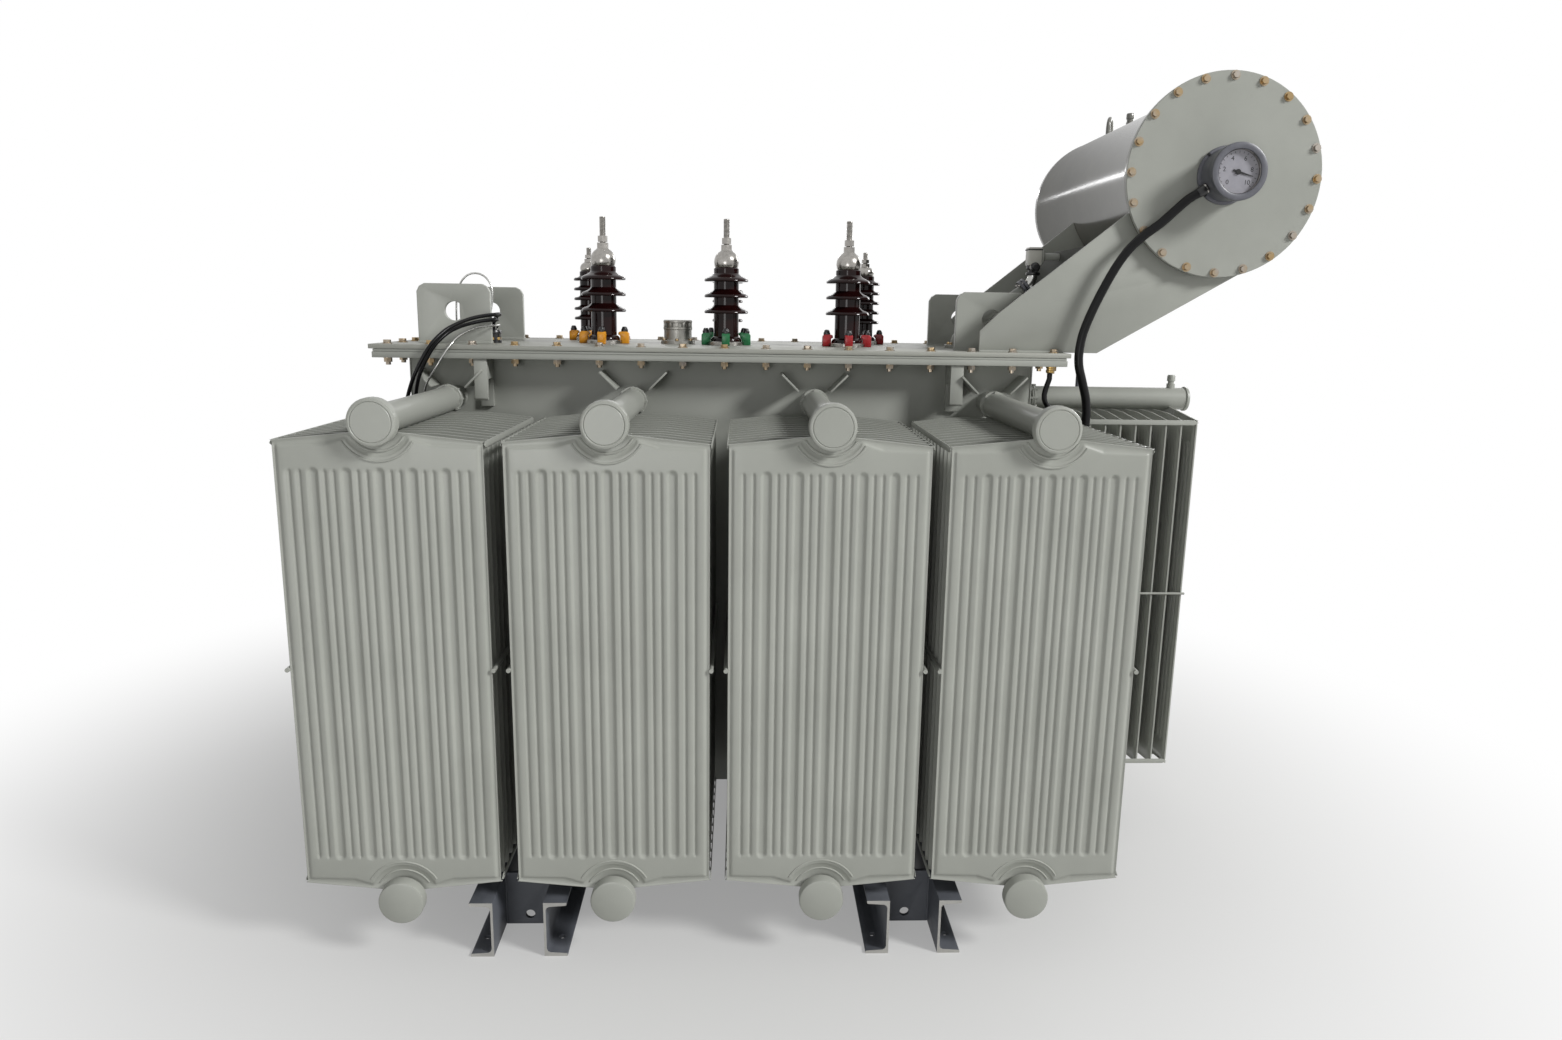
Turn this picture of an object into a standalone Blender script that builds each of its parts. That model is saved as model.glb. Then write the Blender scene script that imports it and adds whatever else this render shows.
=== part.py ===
"""Three-phase oil-immersed power transformer with nine panel radiators and a conservator.

Metres, +Z up. The tank is centred on an empty and its long side runs along X. Its front, with
the higher-voltage bushings and the conservator's dial gauge, faces -Y.
"""

import math

import bmesh
import bpy
from mathutils import Matrix, Vector

# Clearance left between pieces that touch
GAP = 0.0003
# How far a cutter runs past the face that it cuts
OVERRUN = 0.005

# Base: two pairs of steel channels along Y, joined by cross plates
RAIL_HEIGHT = 0.160
RAIL_FLANGE = 0.063
RAIL_WEB = 0.0065
RAIL_FLANGE_THICKNESS = 0.010
RAIL_LENGTH = 2.190
RAIL_GAUGE = 1.080
RAIL_PAIR_SPACING = 0.136
RAIL_TIE_THICKNESS = 0.012
RAIL_TIE_SETBACK = 0.160
TOWING_HOLE_RADIUS = 0.0135
TOWING_HOLE_HEIGHT = 0.030

# Tank, its flange, the gasket and the cover
TANK_LENGTH = 1.960
TANK_DEPTH = 0.700
TANK_HEIGHT = 1.422
FLANGE_OVERHANG = 0.095
FLANGE_THICKNESS = 0.018
GASKET_THICKNESS = 0.008
GASKET_INSET = 0.012
COVER_THICKNESS = 0.014

# Radiators: pressed panels welded between an upper and a lower header pipe
LOWER_HEADER_RISE = 0.0207
UPPER_HEADER_DROP = 0.1213
HEADER_RADIUS = 0.038
HEADER_FLANGE_RADIUS = 0.055
HEADER_FLANGE_THICKNESS = 0.034
CAP_RADIUS = 0.060
CAP_LENGTH = 0.034
CAP_REACH = 0.044
CAP_ROUNDING = 0.008
PANEL_SPACE = 0.040
PANEL_RAISE = 0.039
PANEL_DROP = 0.049
PANEL_POINT_RISE = 0.027
PANEL_THICKNESS = 0.012
PANEL_PITCH = 0.050
RIM_THICKNESS = 0.004
RIM_WIDTH = 0.010
FLUTES = 5
FLUTE_PITCH = 0.080
FLUTE_RADIUS = 0.012
FLUTE_DEPTH = 0.004
FLUTE_END_MARGIN = 0.066
RADIATOR_SPACES = 3.5
SIDE_RADIATORS = 4
SIDE_PANELS = 13
SIDE_PANEL_TO_TANK = 0.134
END_PANELS = 10
END_PANEL_TO_TANK = 0.105
END_CAP_RADIUS = 0.042
END_CAP_LENGTH = 0.012
END_CAP_REACH = 0.066
VENT_PLUG_RADIUS = 0.014
VENT_PLUG_HEIGHT = 0.045
VENT_PLUG_SETBACK = 0.045

# Ribs above the headers and the hooks under the flange
RIB_INNER_X = 0.050
RIB_INNER_Z = 0.035
RIB_RUN = 0.052
RIB_DEPTH = 0.040
RIB_THICKNESS = 0.006
HOOK_SETBACK = 0.253
HOOK_WIDTH = 0.036
HOOK_DEPTH = 0.060
HOOK_HEIGHT = 0.130
HOOK_SLOT_WIDTH = 0.016
HOOK_SLOT_HEIGHT = 0.070

# Lifting lugs on the cover
LUG_SETBACK = 0.120
LUG_FRONT_INSET = 0.090
LUG_BACK_INSET = 0.110
LUG_WIDTH = 0.230
LUG_HEIGHT = 0.185
LUG_THICKNESS = 0.020
LUG_CHAMFER = 0.025
LUG_HOLE_RADIUS = 0.030
LUG_HOLE_HEIGHT = 0.100

# Bushings
HV_PITCH = 0.410
HV_Y = -0.090
HV_CORE_RADIUS = 0.041
HV_SHED_RADIUS = 0.068
HV_SHED_PITCH = 0.050
HV_SHEDS = 3
HV_FIRST_SHED = 0.105
HV_CAP_RADIUS = 0.036
HV_CAP_HEIGHT = 0.055
HV_NUT_RADIUS = 0.017
HV_NUT_HEIGHT = 0.040
HV_ROD_RADIUS = 0.011
HV_HEIGHT = 0.412
LV_TO_LUG = 0.242
LV_Y = 0.230
LV_CORE_RADIUS = 0.034
LV_SHED_RADIUS = 0.054
LV_SHED_PITCH = 0.0345
LV_SHEDS = 5
LV_FIRST_SHED = 0.076
LV_CAP_RADIUS = 0.028
LV_CAP_HEIGHT = 0.030
LV_NUT_RADIUS = 0.014
LV_NUT_HEIGHT = 0.025
LV_ROD_RADIUS = 0.009
LV_HEIGHT = 0.329
BUSHING_FOOT_FLARE = 0.010
BUSHING_FOOT_HEIGHT = 0.024
CLAMP_WIDTH = 0.034
CLAMP_RING_WIDTH = 0.010
CLAMP_REACH = 0.044
CLAMP_HEIGHT = 0.022

# Pressure-relief cap on the cover
RELIEF_X = -0.166
RELIEF_Y = -0.040
RELIEF_RADIUS = 0.047
RELIEF_HEIGHT = 0.080
RELIEF_FLANGE_RADIUS = 0.058
RELIEF_FLANGE_HEIGHT = 0.012

# Conservator and what carries it
CONSERVATOR_BEYOND_TANK = 0.544
CONSERVATOR_ABOVE_COVER = 0.543
CONSERVATOR_OVERHANG = 0.0465
CONSERVATOR_LENGTH = 1.012
SHELL_RADIUS = 0.2965
COVER_DISC_RADIUS = 0.3035
COVER_DISC_THICKNESS = 0.012
SHELL_END_RECESS = 0.012
SHELL_END_LIP = 0.006
LIFTING_EYE_SETBACK = 0.880
LIFTING_EYE_RADIUS = 0.034
LIFTING_EYE_BAR = 0.008
LIFTING_EYE_RISE = 0.046
FILLER_SETBACK = 0.570
FILLER_RADIUS = 0.016
FILLER_HEIGHT = 0.040
BRACKET_THICKNESS = 0.010
BRACKET_FRONT_OVERHANG = 0.0165
BRACKET_BACK_INSET = 0.0880
BRACKET_HEEL_SETBACK = 0.177
BRACKET_TOE_REACH = 0.201
BRACKET_HEEL_HEIGHT = 0.064
BRACKET_SHOULDER_SETBACK = 0.121
BRACKET_SHOULDER_HEIGHT = 0.119
BRACKET_BACK_ANGLE = math.radians(200.0)
TIE_PLATE_REACH = 0.150
TIE_PLATE_TOP = 0.330
TIE_PLATE_HEIGHT = 0.170
TIE_PLATE_THICKNESS = 0.008

# Dial oil gauge in the middle of the conservator's cover
GAUGE_RADIUS = 0.083
GAUGE_DEPTH = 0.072
GAUGE_BEZEL = 0.012
GAUGE_DIAL_RECESS = 0.006
GLAND_RADIUS = 0.016
GAUGE_GLAND_ANGLE = math.radians(212.0)
GAUGE_GLAND_REACH = 0.110
GAUGE_GLAND_STANDOFF = 0.034

# Oil pipe from the cover up to the conservator
PIPE_RADIUS = 0.018
PIPE_Y = -0.060
PIPE_FOOT_SETBACK = 0.190
PIPE_FOOT_RADIUS = 0.038
PIPE_FOOT_THICKNESS = 0.012
PIPE_BEND_HEIGHT = 0.035
PIPE_ELBOW_REACH = 0.038
PIPE_ELBOW_HEIGHT = 0.213
PIPE_RISER_REACH = 0.070
PIPE_RISER_HEIGHT = 0.262
PIPE_TOP_HEIGHT = 0.353
RELAY_SIZE = 0.050
PIPE_FLANGE_RADIUS = 0.032
PIPE_FLANGE_LENGTH = 0.022

# Breather, hanging from the conservator behind the end radiator
BREATHER_OFFSET_SHARE = 0.688
BREATHER_CLEARANCE = 0.057
BREATHER_TUBE_RADIUS = 0.008
BREATHER_RADIUS = 0.040
BREATHER_DROP = 0.1823
BREATHER_LENGTH = 0.230
BREATHER_CAP_HEIGHT = 0.022
BREATHER_GLASS_RADIUS = 0.034

# Thermometer pocket and the boxes where the cables end
POCKET_SETBACK = 0.225
POCKET_INSET = 0.150
POCKET_RADIUS = 0.026
POCKET_HEIGHT = 0.042
BOX_DEPTH = 0.075
BOX_WIDTH = 0.150
BOX_HEIGHT = 0.210
BOX_INSET = 0.105
BOX_DROP = 0.7823
BOX_GLAND_HEIGHT = 0.030
FLANGE_CLIP_REACH = 0.044
FLANGE_CLIP_OVERHANG = 0.050
FLANGE_CLIP_RADIUS = 0.013
FLANGE_CLIP_HEIGHT = 0.022

# Cables. Each route's points are from the front top corner of the tank at its own end.
GAUGE_CABLE_RADIUS = 0.014
COVER_CABLE_RADIUS = 0.0085
THERMOMETER_CABLE_RADIUS = 0.006
CAPILLARY_RADIUS = 0.003
GAUGE_CABLE_ROUTE = (
    (0.4503, -0.0805, 0.5253),
    (0.4250, -0.0805, 0.5095),
    (0.3900, -0.0800, 0.4777),
    (0.3450, -0.0780, 0.4357),
    (0.3000, -0.0740, 0.4007),
    (0.2600, -0.0690, 0.3607),
    (0.2250, -0.0640, 0.3077),
    (0.1900, -0.0610, 0.2377),
    (0.1600, -0.0590, 0.1677),
    (0.1380, -0.0585, 0.1027),
    (0.1300, -0.0590, 0.0477),
    (0.1320, -0.0600, 0.0027),
    (0.1460, -0.0610, -0.0473),
    (0.1630, -0.0610, -0.1123),
    (0.1650, -0.0600, -0.1823),
    (0.1470, -0.0560, -0.2523),
    (0.1150, -0.0430, -0.3123),
    (0.0770, -0.0120, -0.3723),
    (0.0530, 0.0390, -0.4273),
    (0.0440, 0.0980, -0.4673),
    (0.0400, 0.1320, -0.4973),
    (0.0400, 0.1400, -0.5219),
    (0.0400, 0.1400, -0.5417),
)
COVER_CABLE_ROUTE = (
    (0.0440, -0.0500, -0.0222),
    (0.0440, -0.0500, -0.0393),
    (0.0330, -0.0520, -0.0743),
    (0.0300, -0.0560, -0.1023),
    (0.0470, -0.0560, -0.1303),
    (0.0760, -0.0530, -0.1463),
    (0.1050, -0.0480, -0.1643),
    (0.1200, -0.0430, -0.1973),
    (0.1100, -0.0380, -0.2423),
    (0.0760, -0.0300, -0.3023),
    (0.0380, -0.0220, -0.3673),
    (0.0230, 0.0050, -0.4223),
    (0.0260, 0.0420, -0.4673),
    (0.0330, 0.0640, -0.4973),
    (0.0350, 0.0700, -0.5219),
    (0.0350, 0.0700, -0.5417),
)
THERMOMETER_CABLE_ROUTE_A = (
    (0.2250, 0.1420, 0.0837),
    (0.2250, 0.1420, 0.0957),
    (0.2350, 0.1260, 0.1107),
    (0.2510, 0.1000, 0.1167),
    (0.2450, 0.0650, 0.1157),
    (0.2180, 0.0320, 0.1117),
    (0.1892, 0.0000, 0.1037),
    (0.1621, -0.0430, 0.0917),
    (0.1361, -0.0830, 0.0717),
    (0.1020, -0.1120, 0.0297),
    (0.0670, -0.1190, -0.0373),
    (0.0500, -0.1120, -0.0853),
    (0.0350, -0.0900, -0.1423),
    (0.0200, -0.0670, -0.2123),
    (-0.0060, -0.0450, -0.2823),
    (-0.0280, -0.0150, -0.3523),
    (-0.0420, 0.0300, -0.4223),
    (-0.0450, 0.0620, -0.4873),
    (-0.0450, 0.0700, -0.5203),
    (-0.0450, 0.0700, -0.5417),
)
THERMOMETER_CABLE_ROUTE_B = (
    (0.2250, 0.1580, 0.0837),
    (0.2250, 0.1580, 0.1037),
    (0.2400, 0.1370, 0.1257),
    (0.2600, 0.1000, 0.1327),
    (0.2510, 0.0550, 0.1317),
    (0.2240, 0.0150, 0.1267),
    (0.1940, -0.0220, 0.1177),
    (0.1650, -0.0630, 0.1027),
    (0.1360, -0.1010, 0.0807),
    (0.1010, -0.1330, 0.0377),
    (0.0620, -0.1420, -0.0323),
    (0.0380, -0.1360, -0.0853),
    (0.0150, -0.1120, -0.1423),
    (-0.0050, -0.0820, -0.2123),
    (-0.0270, -0.0550, -0.2823),
    (-0.0460, -0.0150, -0.3523),
    (-0.0510, 0.0500, -0.4123),
    (-0.0470, 0.1150, -0.4673),
    (-0.0450, 0.1380, -0.4973),
    (-0.0450, 0.1420, -0.5223),
    (-0.0450, 0.1420, -0.5417),
)
CAPILLARY_ROUTE = (
    (0.2380, 0.1500, 0.0837),
    (0.2380, 0.1500, 0.0907),
    (0.2470, 0.1350, 0.0977),
    (0.2560, 0.1000, 0.0987),
    (0.2430, 0.0600, 0.0967),
    (0.2071, 0.0080, 0.0912),
    (0.1764, -0.0720, 0.0687),
    (0.1540, -0.1120, 0.0377),
    (0.1200, -0.1300, -0.0183),
    (0.0810, -0.1140, -0.0763),
    (0.0600, -0.0850, -0.1323),
    (0.0450, -0.0550, -0.2023),
    (0.0200, -0.0350, -0.2823),
    (-0.0130, -0.0020, -0.3623),
    (-0.0250, 0.0500, -0.4323),
    (-0.0220, 0.0950, -0.4923),
    (-0.0200, 0.1060, -0.5203),
    (-0.0200, 0.1060, -0.5417),
)
CAPILLARY_LOOP_ROUTE = (
    (0.2120, 0.1500, 0.0837),
    (0.2120, 0.1500, 0.0977),
    (0.2180, 0.1530, 0.1377),
    (0.2240, 0.1600, 0.1827),
    (0.2190, 0.1650, 0.2257),
    (0.1970, 0.1680, 0.2537),
    (0.1702, 0.1700, 0.2617),
    (0.1430, 0.1710, 0.2547),
    (0.1200, 0.1730, 0.2297),
    (0.1060, 0.1750, 0.1877),
    (0.1010, 0.1780, 0.1327),
    (0.1010, 0.1800, 0.0927),
    (0.1010, 0.1800, 0.0714),
)
LOOP_GLAND_RADIUS = 0.010
LOOP_GLAND_HEIGHT = 0.030

# Facets round the pieces that are turned
HEADER_SIDES = 8
PIPE_SIDES = 12
BUSHING_SIDES = 10
CLAMP_BORE_SIDES = 10
SHELL_SIDES = 32
HOLE_SIDES = 16
FLUTE_SIDES = 4
CORD_BEVEL_RESOLUTION = 2
CORD_STEP_DIAMETERS = 2.5

# Levels and reaches that several pieces share
TANK_BOTTOM = RAIL_HEIGHT + GAP
TANK_TOP = TANK_BOTTOM + TANK_HEIGHT
FLANGE_BOTTOM = TANK_TOP + GAP
GASKET_BOTTOM = FLANGE_BOTTOM + FLANGE_THICKNESS + GAP
COVER_BOTTOM = GASKET_BOTTOM + GASKET_THICKNESS + GAP
COVER_TOP = COVER_BOTTOM + COVER_THICKNESS
SEAT = COVER_TOP + GAP
LOWER_HEADER_HEIGHT = TANK_BOTTOM + LOWER_HEADER_RISE
UPPER_HEADER_HEIGHT = TANK_TOP - UPPER_HEADER_DROP
PANEL_TOP = UPPER_HEADER_HEIGHT - PANEL_DROP
PANEL_BOTTOM = LOWER_HEADER_HEIGHT + PANEL_RAISE
BOX_BOTTOM = TANK_TOP - BOX_DROP
BREATHER_TOP = TANK_TOP - BREATHER_DROP
TANK_END = TANK_LENGTH / 2
TANK_FRONT = -TANK_DEPTH / 2
TANK_BACK = TANK_DEPTH / 2
FLANGE_HALF_LENGTH = TANK_END + FLANGE_OVERHANG
FLANGE_HALF_DEPTH = TANK_BACK + FLANGE_OVERHANG
CONSERVATOR_HEIGHT = COVER_TOP + CONSERVATOR_ABOVE_COVER
RADIATOR_PITCH = TANK_LENGTH / RADIATOR_SPACES
PANEL_WIDTH = RADIATOR_PITCH - PANEL_SPACE
END_RADIATOR_Y = TANK_FRONT + PANEL_WIDTH / 2
HOOK_CENTRE_X = TANK_END - HOOK_SETBACK
LUG_CENTRE_X = TANK_END - LUG_SETBACK
LV_PITCH = LUG_CENTRE_X - LUG_WIDTH / 2 - LV_TO_LUG
CONSERVATOR_X = TANK_END + CONSERVATOR_BEYOND_TANK
CONSERVATOR_FRONT_Y = TANK_FRONT - CONSERVATOR_OVERHANG
BRACKET_FRONT_Y = TANK_FRONT - BRACKET_FRONT_OVERHANG
BRACKET_BACK_Y = TANK_BACK - BRACKET_BACK_INSET
TIE_PLATE_X = TANK_END + TIE_PLATE_REACH
BREATHER_X = CONSERVATOR_X - BREATHER_OFFSET_SHARE * SHELL_RADIUS
BREATHER_Y = TANK_FRONT + PANEL_WIDTH + BREATHER_CLEARANCE
LEFT_REACH = (SIDE_RADIATORS - 1) / 2 * RADIATOR_PITCH + PANEL_WIDTH / 2
RIGHT_REACH = CONSERVATOR_X + COVER_DISC_RADIUS

for startup_object in list(bpy.data.objects):
    bpy.data.objects.remove(startup_object)

frame = bpy.data.objects.new("tank_centre", None)
bpy.context.collection.objects.link(frame)
frame.location = (-(RIGHT_REACH - LEFT_REACH) / 2, 0, 0)


def hex_colour(code):
    channels = [int(code[i:i + 2], 16) / 255 for i in (0, 2, 4)]
    return [c / 12.92 if c <= 0.04045 else ((c + 0.055) / 1.055) ** 2.4 for c in channels]


def material(name, code, roughness, metallic=0.0):
    made = bpy.data.materials.new(name)
    made.use_nodes = True
    shader = made.node_tree.nodes["Principled BSDF"]
    shader.inputs["Base Color"].default_value = (*hex_colour(code), 1)
    shader.inputs["Roughness"].default_value = roughness
    shader.inputs["Metallic"].default_value = metallic
    return made


GREY_PAINT = material("grey_paint", "8F9087", 0.40)
DARK_PAINT = material("dark_grey_paint", "3C3D40", 0.50)
RUBBER = material("gasket_rubber", "2A2A2A", 0.80)
PORCELAIN = material("brown_porcelain", "2E1214", 0.15)
STEEL = material("bare_steel", "B5B5B2", 0.35, 1.0)
BRASS_GREY = material("cast_gauge_grey", "8B8D8E", 0.45)
BLACK_SHEATH = material("black_sheath", "141414", 0.55)
CAPILLARY_METAL = material("capillary_metal", "A8A8A8", 0.30, 1.0)


def finish(mesh_maker, name, surface, at=(0, 0, 0), turn=0.0):
    """Turns a bmesh into a named object under the tank's centre."""
    if isinstance(mesh_maker, bpy.types.Mesh):
        mesh = mesh_maker
    else:
        mesh = bpy.data.meshes.new(name)
        mesh_maker.to_mesh(mesh)
        mesh_maker.free()
    mesh.materials.clear()
    mesh.materials.append(surface)
    made = bpy.data.objects.new(name, mesh)
    bpy.context.collection.objects.link(made)
    made.parent = frame
    made.location = at
    made.rotation_euler = (0, 0, turn)
    return made


def smooth(made, angle=math.radians(35.0)):
    made.data.shade_smooth()
    made.data.set_sharp_from_angle(angle=angle)
    return made


def prism(shape, outline, start, end, axis="Y"):
    """Adds a closed prism: outline holds the two coordinates across the axis."""
    place = {
        "X": lambda a, b, t: (t, a, b),
        "Y": lambda a, b, t: (a, t, b),
        "Z": lambda a, b, t: (a, b, t),
    }[axis]
    low = [shape.verts.new(place(a, b, start)) for a, b in outline]
    high = [shape.verts.new(place(a, b, end)) for a, b in outline]
    faces = [shape.faces.new(low), shape.faces.new(list(reversed(high)))]
    for i, corner in enumerate(low):
        following = (i + 1) % len(low)
        faces.append(shape.faces.new((corner, high[i], high[following], low[following])))
    return faces


def block(shape, x, y, z):
    outline = [(x[0], y[0]), (x[1], y[0]), (x[1], y[1]), (x[0], y[1])]
    return prism(shape, outline, z[0], z[1], "Z")


def ring_points(radius, sides, centre=(0.0, 0.0), phase=0.0):
    step = 2 * math.pi / sides
    return [
        (centre[0] + radius * math.cos(phase + step * i),
         centre[1] + radius * math.sin(phase + step * i))
        for i in range(sides)
    ]


def turned(shape, profile, sides, matrix=None):
    """Adds a solid of revolution about Z from (radius, height) pairs, on the axis at both ends."""
    rows = []
    for radius, height in profile:
        if radius == 0:
            rows.append([shape.verts.new((0, 0, height))])
        else:
            points = ring_points(radius, sides)
            rows.append([shape.verts.new((x, y, height)) for x, y in points])
    for lower, upper in zip(rows, rows[1:]):
        for i in range(sides):
            following = (i + 1) % sides
            if len(lower) == 1:
                shape.faces.new((lower[0], upper[following], upper[i]))
            elif len(upper) == 1:
                shape.faces.new((lower[i], lower[following], upper[0]))
            else:
                shape.faces.new((lower[i], lower[following], upper[following], upper[i]))
    made = [vertex for row in rows for vertex in row]
    if matrix is not None:
        bmesh.ops.transform(shape, matrix=matrix, verts=made)
    return made


def outward(shape):
    bmesh.ops.recalc_face_normals(shape, faces=shape.faces[:])
    return shape


def along(origin, direction):
    """The matrix that carries the Z axis to a direction at an origin."""
    turn = Vector((0, 0, 1)).rotation_difference(Vector(direction))
    return Matrix.Translation(origin) @ turn.to_matrix().to_4x4()


def disc_profile(radius, start, end):
    return [(0, start), (radius, start), (radius, end), (0, end)]


def combine(base, others, operation="UNION"):
    """Joins or cuts a bmesh with others by exact Booleans and returns the resulting mesh."""
    shapes = []
    for source in (base, *others):
        mesh = bpy.data.meshes.new("shape")
        outward(source).to_mesh(mesh)
        source.free()
        made = bpy.data.objects.new("shape", mesh)
        bpy.context.collection.objects.link(made)
        shapes.append(made)
    for other in shapes[1:]:
        step = shapes[0].modifiers.new("combine", "BOOLEAN")
        step.operation = operation
        step.solver = "EXACT"
        step.object = other
    bpy.context.view_layer.update()
    evaluated = shapes[0].evaluated_get(bpy.context.evaluated_depsgraph_get())
    result = bpy.data.meshes.new_from_object(evaluated)
    for made in shapes:
        bpy.data.objects.remove(made)
    return result


def as_bmesh(mesh):
    shape = bmesh.new()
    shape.from_mesh(mesh)
    return shape


# Base

def make_rail(name, web_x, outward_sign):
    """A channel lying along Y, its web's flat back at web_x and its flanges pointing outward."""
    web_out = web_x + outward_sign * RAIL_WEB
    tip = web_x + outward_sign * RAIL_FLANGE
    low = RAIL_FLANGE_THICKNESS
    high = RAIL_HEIGHT - RAIL_FLANGE_THICKNESS
    outline = [
        (web_x, 0), (tip, 0), (tip, low), (web_out, low),
        (web_out, high), (tip, high), (tip, RAIL_HEIGHT), (web_x, RAIL_HEIGHT),
    ]
    shape = bmesh.new()
    prism(shape, outline, -RAIL_LENGTH / 2, RAIL_LENGTH / 2)
    return finish(outward(shape), name, DARK_PAINT)


def make_rail_tie(name, centre_x, centre_y):
    """A cross plate between two channels, with the hole for towing the transformer."""
    half = RAIL_PAIR_SPACING / 2 - GAP
    shape = bmesh.new()
    near = centre_y - RAIL_TIE_THICKNESS / 2
    far = centre_y + RAIL_TIE_THICKNESS / 2
    block(shape, (centre_x - half, centre_x + half), (near, far), (0, RAIL_HEIGHT))
    cutter = bmesh.new()
    hole = ring_points(TOWING_HOLE_RADIUS, HOLE_SIDES, (centre_x, TOWING_HOLE_HEIGHT))
    prism(cutter, hole, near - OVERRUN, far + OVERRUN)
    return finish(combine(shape, [cutter], "DIFFERENCE"), name, DARK_PAINT)


def make_base():
    for side, sign in (("left", -1), ("right", 1)):
        centre = sign * RAIL_GAUGE / 2
        make_rail(f"rail_{side}_outer", centre + sign * RAIL_PAIR_SPACING / 2, sign)
        make_rail(f"rail_{side}_inner", centre - sign * RAIL_PAIR_SPACING / 2, -sign)
        tie_y = RAIL_LENGTH / 2 - RAIL_TIE_SETBACK
        make_rail_tie(f"rail_tie_{side}_front", centre, -tie_y)
        make_rail_tie(f"rail_tie_{side}_back", centre, tie_y)


# Tank and cover

def from_corner(point, sign):
    """A point given from the tank's front top corner, at its right or its left end."""
    return Vector(point) + Vector((sign * TANK_END, TANK_FRONT, TANK_TOP))


def radiator_x(index):
    return (index - (SIDE_RADIATORS - 1) / 2) * RADIATOR_PITCH


def add_rib(shape, header_x, wall_y, side, way):
    """One of the two slanting ribs over an upper header."""
    inner = Vector((header_x + side * RIB_INNER_X, UPPER_HEADER_HEIGHT + RIB_INNER_Z))
    outer = inner + Vector((side * RIB_RUN, RIB_RUN))
    across = Vector((side, -1)).normalized() * RIB_THICKNESS
    outline = [inner, outer, outer + across, inner + across]
    prism(shape, outline, wall_y - way * OVERRUN, wall_y + way * RIB_DEPTH)


def make_tank():
    shape = bmesh.new()
    block(shape, (-TANK_END, TANK_END), (TANK_FRONT, TANK_BACK), (TANK_BOTTOM, TANK_TOP))
    ribs = bmesh.new()
    for i in range(SIDE_RADIATORS):
        for way in (-1, 1):
            for side in (-1, 1):
                add_rib(ribs, radiator_x(i), way * TANK_BACK, side, way)
    hooks = bmesh.new()
    slots = bmesh.new()
    for sign in (-1, 1):
        for way in (-1, 1):
            x = sign * HOOK_CENTRE_X
            wall = way * TANK_BACK
            reach = sorted((wall - way * OVERRUN, wall + way * HOOK_DEPTH))
            width = (x - HOOK_WIDTH / 2, x + HOOK_WIDTH / 2)
            block(hooks, width, reach, (TANK_TOP - HOOK_HEIGHT, TANK_TOP))
            slot_reach = sorted((wall + way * GAP, wall + way * (HOOK_DEPTH - HOOK_SLOT_WIDTH)))
            slot_width = (width[0] - OVERRUN, width[1] + OVERRUN)
            bottom = TANK_TOP - HOOK_HEIGHT
            block(slots, slot_width, slot_reach, (bottom - OVERRUN, bottom + HOOK_SLOT_HEIGHT))
    hooked = as_bmesh(combine(hooks, [slots], "DIFFERENCE"))
    return finish(combine(shape, [ribs, hooked]), "tank_body", GREY_PAINT)


def make_flange_stack():
    outer_x = FLANGE_HALF_LENGTH
    outer_y = FLANGE_HALF_DEPTH
    shape = bmesh.new()
    block(shape, (-outer_x, outer_x), (-outer_y, outer_y),
          (FLANGE_BOTTOM, FLANGE_BOTTOM + FLANGE_THICKNESS))
    clip = bmesh.new()
    profile = disc_profile(FLANGE_CLIP_RADIUS, -OVERRUN, FLANGE_CLIP_HEIGHT)
    clip_place = (TANK_END + FLANGE_CLIP_REACH, TANK_FRONT - FLANGE_CLIP_OVERHANG,
                  FLANGE_BOTTOM)
    turned(clip, profile, PIPE_SIDES, along(clip_place, (0, 0, -1)))
    finish(combine(shape, [clip]), "tank_flange", GREY_PAINT)
    gasket_x = outer_x - GASKET_INSET
    gasket_y = outer_y - GASKET_INSET
    shape = bmesh.new()
    block(shape, (-gasket_x, gasket_x), (-gasket_y, gasket_y),
          (GASKET_BOTTOM, GASKET_BOTTOM + GASKET_THICKNESS))
    finish(outward(shape), "cover_gasket", RUBBER)
    shape = bmesh.new()
    block(shape, (-outer_x, outer_x), (-outer_y, outer_y), (COVER_BOTTOM, COVER_TOP))
    gland = bmesh.new()
    end = from_corner(CAPILLARY_LOOP_ROUTE[-1], -1)
    profile = disc_profile(LOOP_GLAND_RADIUS, -OVERRUN, LOOP_GLAND_HEIGHT)
    turned(gland, profile, PIPE_SIDES, Matrix.Translation((end.x, end.y, COVER_TOP)))
    finish(combine(shape, [gland]), "cover_plate", GREY_PAINT)


def make_lug(name, centre_x, centre_y):
    left = centre_x - LUG_WIDTH / 2
    right = centre_x + LUG_WIDTH / 2
    top = SEAT + LUG_HEIGHT
    outline = [
        (left, SEAT), (right, SEAT), (right, top - LUG_CHAMFER),
        (right - LUG_CHAMFER, top), (left + LUG_CHAMFER, top), (left, top - LUG_CHAMFER),
    ]
    near = centre_y - LUG_THICKNESS / 2
    far = centre_y + LUG_THICKNESS / 2
    shape = bmesh.new()
    prism(shape, outline, near, far)
    cutter = bmesh.new()
    hole = ring_points(LUG_HOLE_RADIUS, HOLE_SIDES, (centre_x, SEAT + LUG_HOLE_HEIGHT))
    prism(cutter, hole, near - OVERRUN, far + OVERRUN)
    return finish(combine(shape, [cutter], "DIFFERENCE"), name, GREY_PAINT)


# Radiators

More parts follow.
